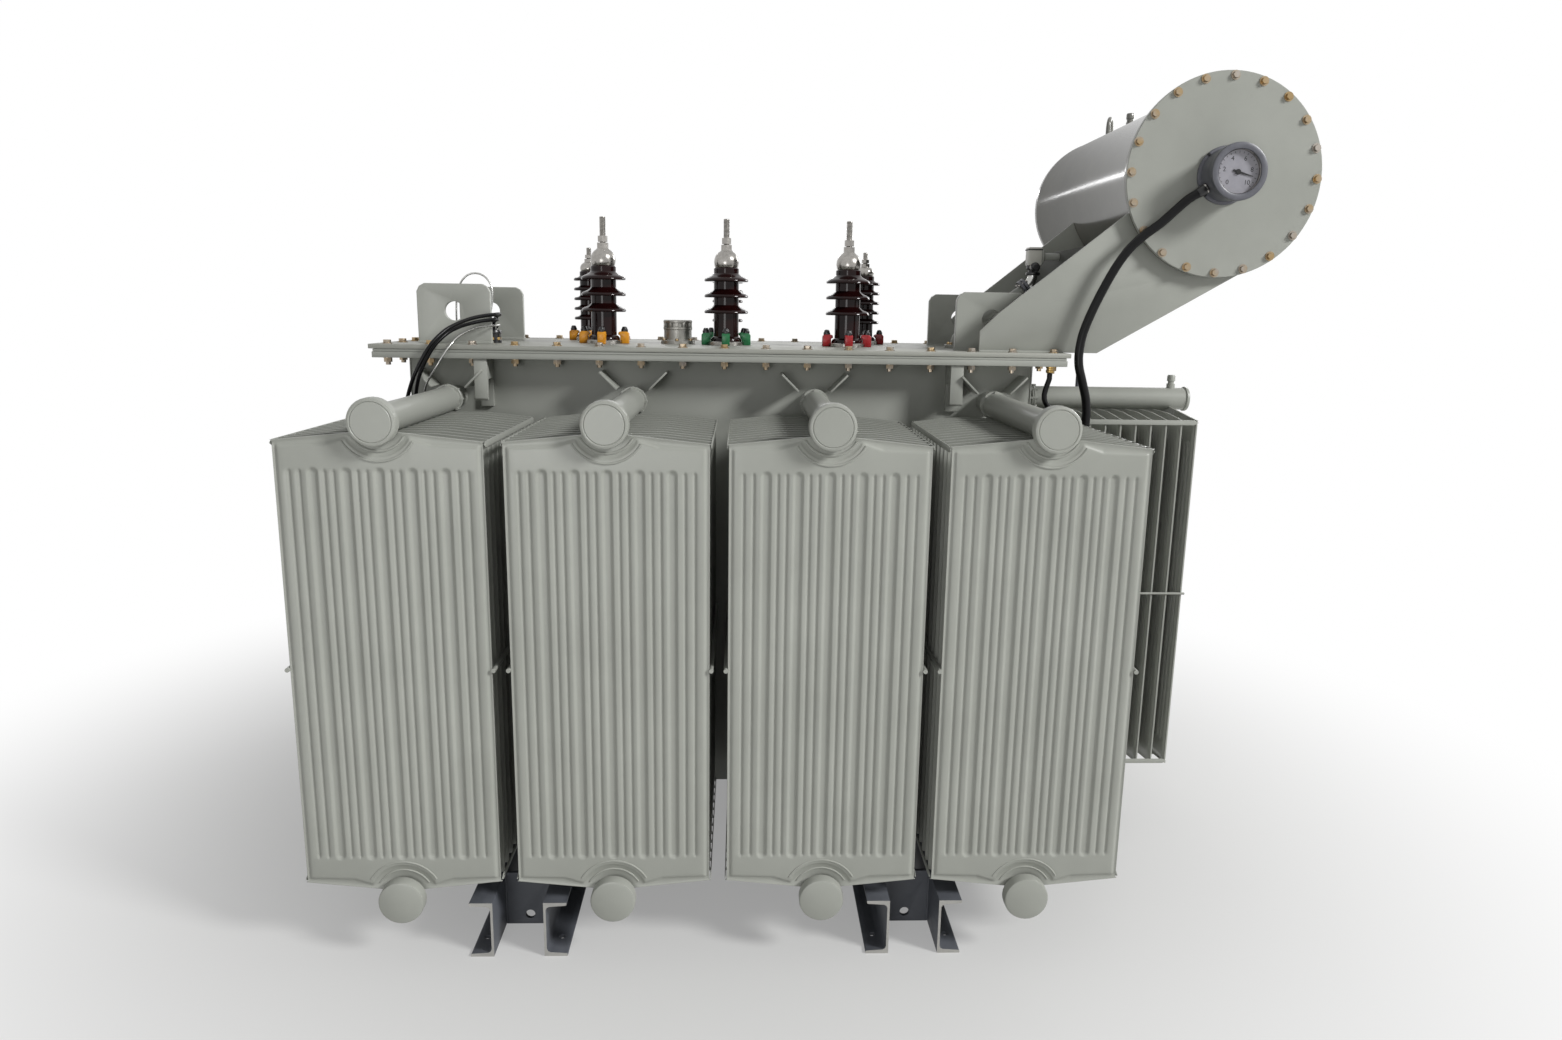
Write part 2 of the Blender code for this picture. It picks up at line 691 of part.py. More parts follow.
def panel_outline(inset=0.0):
    """A panel's outline across the headers, with its shallow points at the middle."""
    half = PANEL_WIDTH / 2 - inset
    top = PANEL_TOP - inset
    bottom = PANEL_BOTTOM + inset
    return [
        (-half, bottom), (0, bottom - PANEL_POINT_RISE), (half, bottom),
        (half, top), (0, top + PANEL_POINT_RISE), (-half, top),
    ]


def add_outer_panel(shape, centre):
    """The outermost panel: a raised body on a thin welded rim. Its face looks along -Y."""
    body = panel_outline(RIM_WIDTH)
    rim = panel_outline()
    levels = [
        (body, centre - PANEL_THICKNESS / 2),
        (body, centre - RIM_THICKNESS / 2),
        (rim, centre - RIM_THICKNESS / 2),
        (rim, centre + RIM_THICKNESS / 2),
        (body, centre + RIM_THICKNESS / 2),
        (body, centre + PANEL_THICKNESS / 2),
    ]
    rows = [[shape.verts.new((x, y, z)) for x, z in outline] for outline, y in levels]
    shape.faces.new(rows[0])
    shape.faces.new(list(reversed(rows[-1])))
    for near, far in zip(rows, rows[1:]):
        for i in range(len(near)):
            following = (i + 1) % len(near)
            shape.faces.new((near[i], far[i], far[following], near[following]))


def add_flutes(shape, centre):
    """Cutters for the long round-ended channels pressed into the outermost panel."""
    top = PANEL_TOP - FLUTE_END_MARGIN
    bottom = PANEL_BOTTOM + FLUTE_END_MARGIN
    face = centre - PANEL_THICKNESS / 2
    axis_y = face - FLUTE_RADIUS + FLUTE_DEPTH
    profile = [
        (0, bottom), (FLUTE_RADIUS, bottom + FLUTE_RADIUS),
        (FLUTE_RADIUS, top - FLUTE_RADIUS), (0, top),
    ]
    for i in range(FLUTES):
        x = (i - (FLUTES - 1) / 2) * FLUTE_PITCH
        turned(shape, profile, FLUTE_SIDES, Matrix.Translation((x, axis_y, 0)))


def radiator_mesh(panels, panel_to_tank, cap_radius, cap_length, cap_reach, vented=False):
    """A radiator whose headers leave a wall at y = 0 along -Y."""
    front = -(panel_to_tank + (panels - 1) * PANEL_PITCH)
    plates = bmesh.new()
    outline = panel_outline()
    for i in range(panels - 1):
        centre = -(panel_to_tank + i * PANEL_PITCH)
        prism(plates, outline, centre - PANEL_THICKNESS / 2, centre + PANEL_THICKNESS / 2)
    outer = bmesh.new()
    add_outer_panel(outer, front)
    flutes = bmesh.new()
    add_flutes(flutes, front)
    fluted = as_bmesh(combine(outer, [flutes], "DIFFERENCE"))
    start = GAP
    end = cap_reach - front
    profile = [
        (0, start), (HEADER_FLANGE_RADIUS, start),
        (HEADER_FLANGE_RADIUS, start + HEADER_FLANGE_THICKNESS),
        (HEADER_RADIUS, start + HEADER_FLANGE_THICKNESS),
        (HEADER_RADIUS, end - cap_length), (cap_radius, end - cap_length),
        (cap_radius, end - min(CAP_ROUNDING, cap_length / 2)),
        (cap_radius - min(CAP_ROUNDING, cap_length / 2), end), (0, end),
    ]
    headers = bmesh.new()
    for z in (LOWER_HEADER_HEIGHT, UPPER_HEADER_HEIGHT):
        turned(headers, profile, HEADER_SIDES, along((0, 0, z), (0, -1, 0)))
    pieces = [plates, fluted]
    if vented:
        plug = bmesh.new()
        plug_y = -(end - cap_length - VENT_PLUG_SETBACK)
        plug_profile = disc_profile(VENT_PLUG_RADIUS, 0, HEADER_RADIUS + VENT_PLUG_HEIGHT)
        place = Matrix.Translation((0, plug_y, UPPER_HEADER_HEIGHT))
        turned(plug, plug_profile, PIPE_SIDES, place)
        pieces.append(plug)
    return combine(headers, pieces)


def make_radiators():
    side_mesh = radiator_mesh(SIDE_PANELS, SIDE_PANEL_TO_TANK, CAP_RADIUS, CAP_LENGTH, CAP_REACH)
    for i in range(SIDE_RADIATORS):
        x = radiator_x(i)
        front_place = (x, TANK_FRONT, 0)
        back_place = (x, TANK_BACK, 0)
        finish(side_mesh.copy(), f"radiator_front_{i + 1}", GREY_PAINT, front_place)
        finish(side_mesh.copy(), f"radiator_back_{i + 1}", GREY_PAINT, back_place, math.pi)
    end_mesh = radiator_mesh(
        END_PANELS, END_PANEL_TO_TANK, END_CAP_RADIUS, END_CAP_LENGTH, END_CAP_REACH, True)
    end_place = (TANK_END, END_RADIATOR_Y, 0)
    finish(end_mesh, "radiator_end", GREY_PAINT, end_place, math.pi / 2)


# Bushings

def bushing_profile(core, shed, first, pitch, count, cap, cap_height, nut, nut_height,
                    rod, height):
    """Foot, core with sheds that slope up to it, metal cap, nut and rod, from the seat up."""
    foot = core + BUSHING_FOOT_FLARE
    profile = [(0, 0), (foot, 0), (foot, BUSHING_FOOT_HEIGHT)]
    for i in range(count):
        tip = first + i * pitch
        profile += [(core, tip), (shed, tip)]
    neck = first + count * pitch
    cap_top = neck + cap_height
    profile += [
        (cap, neck), (cap, neck + cap_height / 2), (nut, cap_top),
        (nut, cap_top + nut_height), (rod, cap_top + nut_height), (rod, height), (0, height),
    ]
    return profile


def make_bushing(name, x, y, profile, core):
    shape = bmesh.new()
    turned(shape, profile, BUSHING_SIDES)
    made = finish(outward(shape), name, PORCELAIN, (x, y, SEAT))
    smooth(made)
    bore = core + BUSHING_FOOT_FLARE + GAP
    arm = core + BUSHING_FOOT_FLARE + CLAMP_REACH
    half = CLAMP_WIDTH / 2
    waist = (bore + CLAMP_RING_WIDTH) / math.sqrt(2)
    corners = [(arm, -half), (arm, half), (waist, waist)]
    outline = []
    for quarter in range(4):
        turn = Matrix.Rotation(quarter * math.pi / 2, 2)
        outline += [turn @ Vector(corner) for corner in corners]
    plate = bmesh.new()
    prism(plate, outline, 0, CLAMP_HEIGHT, "Z")
    cutter = bmesh.new()
    hole = ring_points(bore, CLAMP_BORE_SIDES)
    prism(cutter, hole, -OVERRUN, CLAMP_HEIGHT + OVERRUN, "Z")
    clamp = combine(plate, [cutter], "DIFFERENCE")
    finish(clamp, name + "_clamp", STEEL, (x, y, SEAT))


def make_bushings():
    hv = bushing_profile(
        HV_CORE_RADIUS, HV_SHED_RADIUS, HV_FIRST_SHED, HV_SHED_PITCH, HV_SHEDS, HV_CAP_RADIUS,
        HV_CAP_HEIGHT, HV_NUT_RADIUS, HV_NUT_HEIGHT, HV_ROD_RADIUS, HV_HEIGHT)
    lv = bushing_profile(
        LV_CORE_RADIUS, LV_SHED_RADIUS, LV_FIRST_SHED, LV_SHED_PITCH, LV_SHEDS, LV_CAP_RADIUS,
        LV_CAP_HEIGHT, LV_NUT_RADIUS, LV_NUT_HEIGHT, LV_ROD_RADIUS, LV_HEIGHT)
    for i in range(3):
        make_bushing(f"hv_bushing_{i + 1}", (i - 1) * HV_PITCH, HV_Y, hv, HV_CORE_RADIUS)
        make_bushing(f"lv_bushing_{i + 1}", (i - 1) * LV_PITCH, LV_Y, lv, LV_CORE_RADIUS)


def make_relief_cap():
    shape = bmesh.new()
    profile = [
        (0, 0), (RELIEF_FLANGE_RADIUS, 0), (RELIEF_FLANGE_RADIUS, RELIEF_FLANGE_HEIGHT),
        (RELIEF_RADIUS, RELIEF_FLANGE_HEIGHT), (RELIEF_RADIUS, RELIEF_HEIGHT), (0, RELIEF_HEIGHT),
    ]
    turned(shape, profile, HOLE_SIDES)
    smooth(finish(outward(shape), "relief_cap", STEEL, (RELIEF_X, RELIEF_Y, SEAT)))


# Conservator

def shell_extent(offset):
    """How far the faceted shell reaches from its axis, at an offset across it."""
    facet = 2 * math.pi / SHELL_SIDES
    step = math.floor(math.acos(offset / SHELL_RADIUS) / facet)
    near, far = step * facet, (step + 1) * facet
    share = (math.cos(near) - offset / SHELL_RADIUS) / (math.cos(near) - math.cos(far))
    return SHELL_RADIUS * (math.sin(near) + share * (math.sin(far) - math.sin(near)))


def make_conservator():
    centre = (CONSERVATOR_X, 0, CONSERVATOR_HEIGHT)
    disc = bmesh.new()
    profile = disc_profile(COVER_DISC_RADIUS, 0, COVER_DISC_THICKNESS)
    place = along((centre[0], CONSERVATOR_FRONT_Y, centre[2]), (0, 1, 0))
    turned(disc, profile, SHELL_SIDES, place)
    smooth(finish(outward(disc), "conservator_front_cover", GREY_PAINT))
    shell = bmesh.new()
    start = COVER_DISC_THICKNESS + GAP
    inner = SHELL_RADIUS - SHELL_END_LIP
    profile = [
        (0, start), (SHELL_RADIUS, start), (SHELL_RADIUS, CONSERVATOR_LENGTH),
        (inner, CONSERVATOR_LENGTH), (inner, CONSERVATOR_LENGTH - SHELL_END_RECESS),
        (0, CONSERVATOR_LENGTH - SHELL_END_RECESS),
    ]
    turned(shell, profile, SHELL_SIDES, place)
    top = centre[2] + SHELL_RADIUS
    filler = bmesh.new()
    filler_place = (centre[0], CONSERVATOR_FRONT_Y + FILLER_SETBACK, top)
    turned(filler, disc_profile(FILLER_RADIUS, -OVERRUN, FILLER_HEIGHT), PIPE_SIDES,
           Matrix.Translation(filler_place))
    smooth(finish(combine(shell, [filler]), "conservator_shell", GREY_PAINT))


def make_lifting_eye():
    """An inverted U of square bar that stands on the shell's ridge."""
    inner = LIFTING_EYE_RADIUS - LIFTING_EYE_BAR
    foot = shell_extent(inner) + GAP
    crown = SHELL_RADIUS + LIFTING_EYE_RISE
    outer_arc = ring_points(LIFTING_EYE_RADIUS, HOLE_SIDES, (0, crown))[:HOLE_SIDES // 2 + 1]
    inner_arc = ring_points(inner, HOLE_SIDES, (0, crown))[:HOLE_SIDES // 2 + 1]
    outline = [
        (-inner, foot), (-LIFTING_EYE_RADIUS, foot), *reversed(outer_arc),
        (LIFTING_EYE_RADIUS, foot), (inner, foot), *inner_arc,
    ]
    outline = [(CONSERVATOR_X + x, CONSERVATOR_HEIGHT + z) for x, z in outline]
    middle = CONSERVATOR_FRONT_Y + LIFTING_EYE_SETBACK
    shape = bmesh.new()
    prism(shape, outline, middle - LIFTING_EYE_BAR, middle + LIFTING_EYE_BAR)
    finish(outward(shape), "conservator_lifting_eye", GREY_PAINT)


def bracket_outline():
    """Heel, shoulder, the saddle round the shell, and the toe that meets the shell's tangent."""
    seat_radius = SHELL_RADIUS + GAP
    centre = Vector((CONSERVATOR_X, CONSERVATOR_HEIGHT))
    toe = Vector((TANK_END + BRACKET_TOE_REACH, SEAT))
    heel = TANK_END - BRACKET_HEEL_SETBACK
    shoulder = TANK_END - BRACKET_SHOULDER_SETBACK
    reach = centre - toe
    slant = math.atan2(reach.y, reach.x) - math.asin(seat_radius / reach.length)
    front_angle = 1.5 * math.pi + slant
    facet = 2 * math.pi / SHELL_SIDES
    steps = math.ceil((front_angle - BRACKET_BACK_ANGLE) / facet)
    outline = [
        (toe.x, SEAT), (heel, SEAT), (heel, SEAT + BRACKET_HEEL_HEIGHT),
        (shoulder, SEAT + BRACKET_SHOULDER_HEIGHT),
    ]
    # the saddle's facets stand off the shell's by the depth of one facet
    saddle_radius = seat_radius / math.cos(facet / 2)
    for i in range(steps + 1):
        angle = BRACKET_BACK_ANGLE + (front_angle - BRACKET_BACK_ANGLE) * i / steps
        outline.append((
            centre.x + saddle_radius * math.cos(angle),
            centre.y + saddle_radius * math.sin(angle)))
    return outline


def make_brackets():
    outline = bracket_outline()
    for name, near in (("bracket_front", BRACKET_FRONT_Y), ("bracket_back", BRACKET_BACK_Y)):
        plate = bmesh.new()
        prism(plate, outline, near, near + BRACKET_THICKNESS)
        finish(outward(plate), name, GREY_PAINT)
    tie = bmesh.new()
    top = COVER_TOP + TIE_PLATE_TOP
    block(tie, (TIE_PLATE_X, TIE_PLATE_X + TIE_PLATE_THICKNESS),
          (BRACKET_FRONT_Y + BRACKET_THICKNESS + GAP, BRACKET_BACK_Y - GAP),
          (top - TIE_PLATE_HEIGHT, top))
    finish(outward(tie), "bracket_tie_plate", DARK_PAINT)


def make_gauge():
    place = along((CONSERVATOR_X, CONSERVATOR_FRONT_Y - GAP, CONSERVATOR_HEIGHT), (0, -1, 0))
    dial = GAUGE_RADIUS - GAUGE_BEZEL
    profile = [
        (0, 0), (GAUGE_RADIUS, 0), (GAUGE_RADIUS, GAUGE_DEPTH), (dial, GAUGE_DEPTH),
        (dial, GAUGE_DEPTH - GAUGE_DIAL_RECESS), (0, GAUGE_DEPTH - GAUGE_DIAL_RECESS),
    ]
    body = bmesh.new()
    turned(body, profile, 2 * PIPE_SIDES, place)
    gland = bmesh.new()
    way = Vector((math.cos(GAUGE_GLAND_ANGLE), 0, math.sin(GAUGE_GLAND_ANGLE)))
    root = Vector((CONSERVATOR_X, CONSERVATOR_FRONT_Y - GAUGE_GLAND_STANDOFF, CONSERVATOR_HEIGHT))
    turned(gland, disc_profile(GLAND_RADIUS, 0, GAUGE_GLAND_REACH), PIPE_SIDES, along(root, way))
    smooth(finish(combine(body, [gland]), "oil_gauge", BRASS_GREY))


def swept(shape, points, radius, sides):
    """Adds a pipe through points in the plane y = 0, mitred at each bend and closed at its ends."""
    across = Vector((0, 1, 0))
    rows = []
    for i, point in enumerate(points):
        before = (points[max(i, 1)] - points[max(i, 1) - 1]).normalized()
        after = (points[i + 1] - point).normalized() if i + 1 < len(points) else before
        middle = (before + after).normalized()
        upward = middle.cross(across) * (radius / middle.dot(before))
        ring = ring_points(1, sides)
        rows.append([shape.verts.new(point + across * radius * a + upward * b) for a, b in ring])
    for near, far in zip(rows, rows[1:]):
        for i in range(sides):
            following = (i + 1) % sides
            shape.faces.new((near[i], near[following], far[following], far[i]))
    shape.faces.new(list(reversed(rows[0])))
    shape.faces.new(rows[-1])


def make_oil_pipe():
    """Foot flange, slanting run, elbow flange, riser, relay and the branch into the shell."""
    foot = Vector((-PIPE_FOOT_SETBACK, 0, 0))
    bend = foot + Vector((0, 0, PIPE_BEND_HEIGHT))
    elbow = Vector((PIPE_ELBOW_REACH, 0, PIPE_ELBOW_HEIGHT))
    riser = Vector((PIPE_RISER_REACH, 0, PIPE_RISER_HEIGHT))
    top = Vector((PIPE_RISER_REACH, 0, PIPE_TOP_HEIGHT))
    half = RELAY_SIZE / 2
    start = foot + Vector((0, 0, PIPE_FOOT_THICKNESS / 2))
    end = top - Vector((0, 0, half / 2))
    shape = bmesh.new()
    swept(shape, [start, bend, elbow, riser, end], PIPE_RADIUS, PIPE_SIDES)
    base = bmesh.new()
    turned(base, disc_profile(PIPE_FOOT_RADIUS, 0, PIPE_FOOT_THICKNESS), PIPE_SIDES,
           Matrix.Translation(foot))
    branch_top = SEAT + PIPE_TOP_HEIGHT + PIPE_RADIUS
    shell_side = CONSERVATOR_BEYOND_TANK - shell_extent(branch_top - CONSERVATOR_HEIGHT)
    branch = bmesh.new()
    profile = disc_profile(PIPE_RADIUS, half / 2, shell_side - GAP - PIPE_RISER_REACH)
    turned(branch, profile, PIPE_SIDES, along(top, (1, 0, 0)))
    flange = bmesh.new()
    profile = disc_profile(PIPE_FLANGE_RADIUS, -PIPE_FLANGE_LENGTH / 2, PIPE_FLANGE_LENGTH / 2)
    turned(flange, profile, PIPE_SIDES, along(elbow, elbow - bend))
    relay = bmesh.new()
    block(relay, (top.x - half, top.x + half), (-half, half), (top.z - half, top.z + half))
    made = combine(shape, [base, branch, flange, relay])
    smooth(finish(made, "conservator_pipe", STEEL, (TANK_END, PIPE_Y, SEAT)))


def make_breather():
    near_side = BREATHER_X + BREATHER_TUBE_RADIUS - CONSERVATOR_X
    far_side = BREATHER_X - BREATHER_TUBE_RADIUS - CONSERVATOR_X
    reach = max(shell_extent(near_side), shell_extent(far_side))
    tube_top = CONSERVATOR_HEIGHT - reach - GAP
    bottom = BREATHER_TOP - BREATHER_LENGTH
    profile = [
        (0, bottom), (BREATHER_RADIUS, bottom), (BREATHER_RADIUS, bottom + BREATHER_CAP_HEIGHT),
        (BREATHER_GLASS_RADIUS, bottom + BREATHER_CAP_HEIGHT),
        (BREATHER_GLASS_RADIUS, BREATHER_TOP - BREATHER_CAP_HEIGHT),
        (BREATHER_RADIUS, BREATHER_TOP - BREATHER_CAP_HEIGHT), (BREATHER_RADIUS, BREATHER_TOP),
        (BREATHER_TUBE_RADIUS, BREATHER_TOP), (BREATHER_TUBE_RADIUS, tube_top), (0, tube_top),
    ]
    shape = bmesh.new()
    turned(shape, profile, PIPE_SIDES)
    smooth(finish(outward(shape), "breather", BRASS_GREY, (BREATHER_X, BREATHER_Y, 0)))


# Cables and what they end in

def make_box(name, sign, glands):
    """A terminal box on an end wall, with a gland on top for each cable."""
    shape = bmesh.new()
    wall = sign * (TANK_END + GAP)
    reach = sorted((wall, wall + sign * BOX_DEPTH))
    centre_y = TANK_FRONT + BOX_INSET
    width = (centre_y - BOX_WIDTH / 2, centre_y + BOX_WIDTH / 2)
    top = BOX_BOTTOM + BOX_HEIGHT
    block(shape, reach, width, (BOX_BOTTOM, top))
    tops = bmesh.new()
    for route, radius in glands:
        end = from_corner(route[-1], sign)
        profile = disc_profile(radius, -OVERRUN, BOX_GLAND_HEIGHT)
        turned(tops, profile, PIPE_SIDES, Matrix.Translation((end.x, end.y, top)))
    finish(combine(shape, [tops]), name, GREY_PAINT)


def make_pocket():
    shape = bmesh.new()
    turned(shape, disc_profile(POCKET_RADIUS, 0, POCKET_HEIGHT), PIPE_SIDES)
    place = (POCKET_SETBACK - TANK_END, TANK_FRONT + POCKET_INSET, SEAT)
    smooth(finish(outward(shape), "thermometer_pocket", BLACK_SHEATH, place))


def smooth_route(points, step):
    """Places about a step apart on a Catmull-Rom curve through a route's own points."""
    padded = [2 * points[0] - points[1], *points, 2 * points[-1] - points[-2]]
    result = [points[0]]
    for before, start, end, after in zip(padded, padded[1:], padded[2:], padded[3:]):
        count = max(1, round((end - start).length / step))
        for i in range(1, count + 1):
            t = i / count
            result.append(0.5 * (
                2 * start + (end - before) * t
                + (2 * before - 5 * start + 4 * end - after) * t ** 2
                + (3 * start - before - 3 * end + after) * t ** 3))
    return result


def make_cord(name, route, radius, surface, sign):
    """A cable or a capillary; sign tells which end of the tank its route is drawn from."""
    curve = bpy.data.curves.new(name, "CURVE")
    curve.dimensions = "3D"
    curve.bevel_depth = radius
    curve.bevel_resolution = CORD_BEVEL_RESOLUTION
    curve.use_fill_caps = True
    drawn = [from_corner(point, sign) for point in route]
    points = smooth_route(drawn, CORD_STEP_DIAMETERS * 2 * radius)
    spline = curve.splines.new("POLY")
    spline.points.add(len(points) - 1)
    for target, point in zip(spline.points, points):
        target.co = (*point, 1)
    curve.materials.append(surface)
    made = bpy.data.objects.new(name, curve)
    bpy.context.collection.objects.link(made)
    made.parent = frame
    return made


def make_cables():
    make_box("terminal_box", 1, [
        (GAUGE_CABLE_ROUTE, GLAND_RADIUS), (COVER_CABLE_ROUTE, FLANGE_CLIP_RADIUS)])
    make_box("thermometer_box", -1, [
        (THERMOMETER_CABLE_ROUTE_A, FLANGE_CLIP_RADIUS),
        (THERMOMETER_CABLE_ROUTE_B, FLANGE_CLIP_RADIUS), (CAPILLARY_ROUTE, LOOP_GLAND_RADIUS)])
    make_pocket()
    make_cord("gauge_cable", GAUGE_CABLE_ROUTE, GAUGE_CABLE_RADIUS, BLACK_SHEATH, 1)
    make_cord("cover_cable", COVER_CABLE_ROUTE, COVER_CABLE_RADIUS, BLACK_SHEATH, 1)
    for letter, route in (("a", THERMOMETER_CABLE_ROUTE_A), ("b", THERMOMETER_CABLE_ROUTE_B)):
        make_cord(f"thermometer_cable_{letter}", route, THERMOMETER_CABLE_RADIUS,
                  BLACK_SHEATH, -1)
    make_cord("capillary", CAPILLARY_ROUTE, CAPILLARY_RADIUS, CAPILLARY_METAL, -1)
    make_cord("capillary_loop", CAPILLARY_LOOP_ROUTE, CAPILLARY_RADIUS, CAPILLARY_METAL, -1)


make_base()
make_tank()
make_flange_stack()
for lug_side, lug_sign in (("left", -1), ("right", 1)):
    lug_x = lug_sign * LUG_CENTRE_X
    make_lug(f"lifting_lug_{lug_side}_front", lug_x, TANK_FRONT + LUG_FRONT_INSET)
    make_lug(f"lifting_lug_{lug_side}_back", lug_x, TANK_BACK - LUG_BACK_INSET)
make_radiators()
make_bushings()
make_relief_cap()
make_conservator()
make_lifting_eye()
make_brackets()
make_gauge()
make_oil_pipe()
make_breather()
make_cables()
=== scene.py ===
"""Looks for a three-phase oil-immersed power transformer, in metres with +Z up.

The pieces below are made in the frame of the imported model. Its front, with the higher-voltage
bushings and the oil gauge, faces -Y. Names that end in share or shares hold shares of a size.
"""

import math

import bpy
from mathutils import Matrix, Vector


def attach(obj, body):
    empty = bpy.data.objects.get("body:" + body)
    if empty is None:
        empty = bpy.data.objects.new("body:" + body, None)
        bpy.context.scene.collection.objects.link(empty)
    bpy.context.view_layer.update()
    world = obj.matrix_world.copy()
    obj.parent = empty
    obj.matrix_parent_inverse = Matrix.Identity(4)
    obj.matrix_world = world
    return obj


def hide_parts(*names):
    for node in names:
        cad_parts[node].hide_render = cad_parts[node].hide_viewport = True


# The tank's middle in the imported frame
TANK_X = -0.36375
# Welding distance for doubled points
MERGE = 0.00001
# How far a cutter runs past the face that it cuts
OVERRUN = 0.005
SMOOTH_ANGLE = math.radians(32.0)
PANEL_SMOOTH_ANGLE = math.radians(48.0)
# Facets round a turned piece or a bar
ROUND_SIDES = 32
SMALL_SIDES = 16
MEDIUM_SIDES = 48
FINE_SIDES = 96
WASHER_SIDES = 12
WELD_SIDES = 8
HEXAGON = 6
# Usual width of a broken edge
EDGE = 0.0015

# Camera, found from the photograph's own lines
CAMERA_PLACE = (-0.30965, -3.6405, 1.7412)
CAMERA_YAW = 0.0400
CAMERA_PITCH = 0.2007
CAMERA_ROLL = 0.0160
CAMERA_LENS = 23.743
CAMERA_SENSOR = 36.0

# Levels of the tank, its flange, the cover and the seat on it
TANK_BOTTOM = 0.1603
TANK_TOP = 1.5823
TANK_HALF_LENGTH = 0.980
TANK_HALF_DEPTH = 0.350
FLANGE_BOTTOM = 1.5826
FLANGE_TOP = 1.6006
COVER_BOTTOM = 1.6092
COVER_TOP = 1.6232
SEAT = 1.6235
FLANGE_HALF_LENGTH = 1.075
FLANGE_HALF_DEPTH = 0.445

# Radiators: heights of their headers, and panels pressed and seam-welded along a thin rim
LOWER_AXIS = 0.181
UPPER_AXIS = 1.461
PANEL_HALF = 0.260
PANEL_TOP = 1.412
PANEL_BOTTOM = 0.220
POINT_RISE = 0.027
PANEL_PITCH = 0.050
RADIATOR_PITCH = 0.560
SIDE_RADIATORS = 4
SIDE_PANELS = 13
SIDE_FIRST_PANEL = 0.134
END_PANELS = 10
END_FIRST_PANEL = 0.105
END_RADIATOR_Y = -0.090
BEAD_HEIGHT = 0.0026
BEAD_WIDTH = 0.0030
RIM_HEIGHT = 0.0016
RIM_WIDTH = 0.0135
# How far the rim stands past the sides at a panel's two ends, on so many rows
EAR = 0.0035
EDGE_ROWS = 2
BODY_LINE = ((0.0, 0.026), (0.065, 0.012), (0.130, -0.009), (0.260, -0.013))
BODY_HEIGHT = 0.0060
RECESS_RADIUS = 0.087
# How far in from the foot of the body's flank, and the share of its rise there
FLANK_STEPS = ((-0.001, 0.0), (0.0015, 0.55), (0.0045, 0.88), (0.0090, 1.0))
# Pressed grooves: where they run, half their width, their depth and how wide their walls are
WIDE_GROOVES = (-0.162, -0.081, 0.0, 0.081, 0.162)
WIDE_RADIUS = 0.0145
WIDE_DEPTH = 0.0058
WIDE_WALL = 0.0074
WIDE_OFFSETS = (0.0, 0.0040, 0.0065, 0.0090, 0.0115, 0.0145, 0.0160)
NARROW_GROOVES = (0.0295, 0.0520, 0.1105, 0.1330, 0.1940, 0.2190)
NARROW_RADIUS = 0.0067
NARROW_DEPTH = 0.0040
NARROW_WALL = 0.0060
NARROW_OFFSETS = (0.0, 0.0020, 0.0040, 0.0067)
NARROW_SETBACK = 0.005
GROOVE_TOP = 1.346
GROOVE_BOTTOM = 0.286
FLOOR_CURVE = 0.0004
# Beads pressed round the headers, and strips along the panels' corners
RING_RADII = (0.075, 0.100)
RING_BEADS = (0.0034, 0.0024)
RING_SPREAD = math.radians(60.0)
RING_STEPS = 24
STRIP_HEIGHT = 0.016
STRIP_THICKNESS = 0.0022
STRIP_NOSE = 0.014
STRIP_START = 0.012
STRIP_END = 0.004
STRIP_BITE = 0.001
STRIP_EDGE = 0.0006
# Levels across a panel at the grooves' ends, from there inwards
END_STEPS = (-0.003, 0.0, 0.003, 0.007, 0.011, 0.017)
# How far in from the rim's edge, and how high the sheet stands there
RIM_STEPS = ((0.0, 0.0), (BEAD_WIDTH / 4, BEAD_HEIGHT), (BEAD_WIDTH, BEAD_HEIGHT),
             (1.5 * BEAD_WIDTH, RIM_HEIGHT))
# The same for the flank of the raised body, from its foot inwards
FLANK = [(shift, RIM_HEIGHT + share * (BODY_HEIGHT - RIM_HEIGHT)) for shift, share in FLANK_STEPS]
# Which of these steps an inner panel keeps, across it and along it
INNER_COLUMNS = (0, 1, 4, 5, 7)
INNER_ROWS = (0, 1, 4, 7)

# Radiator headers: a stub on the wall, a bolted collar, the pipe and a round cap
PIPE_RADIUS = 0.038
STUB_RADIUS = 0.034
COLLAR_RADIUS = 0.044
COLLAR_HALF = 0.0065
COLLAR_GROOVE = 0.003
COLLAR_EDGE = 0.001
COLLAR_SETBACK = 0.029
COLLAR_BOLT_CIRCLE = 0.0405
COLLAR_BOLT_RADIUS = 0.0048
COLLAR_BOLT_HALF = 0.014
COLLAR_BOLTS = 8
CAP_ROUNDING = 0.006
CAP_RADIUS = 0.060
CAP_LENGTH = 0.034
CAP_REACH = 0.044
CAP_RING_RADIUS = 0.050
CAP_RING_HALF = 0.002
CAP_RING_DEPTH = 0.0018
END_CAP_RADIUS = 0.042
END_CAP_LENGTH = 0.012
END_CAP_REACH = 0.066

# Rods that tie the panels together, and the vent plug on the end radiator
STUD_RADIUS = 0.006
STUD_X = 0.261
STUD_HEIGHT = 0.820
STUD_START = 0.012
STUD_END = 0.010
END_STUD_RADIUS = 0.004
END_STUD_HEIGHT = 0.830
VENT_PLUG_SETBACK = 0.045
VENT_PLUG_PROFILE = (
    (0, 0.0), (0.014, 0.0), (0.014, 0.052), (0.010, 0.053), (0.010, 0.060), (0.0135, 0.061),
    (0.0135, 0.078), (0.011, 0.082), (0, 0.082),
)

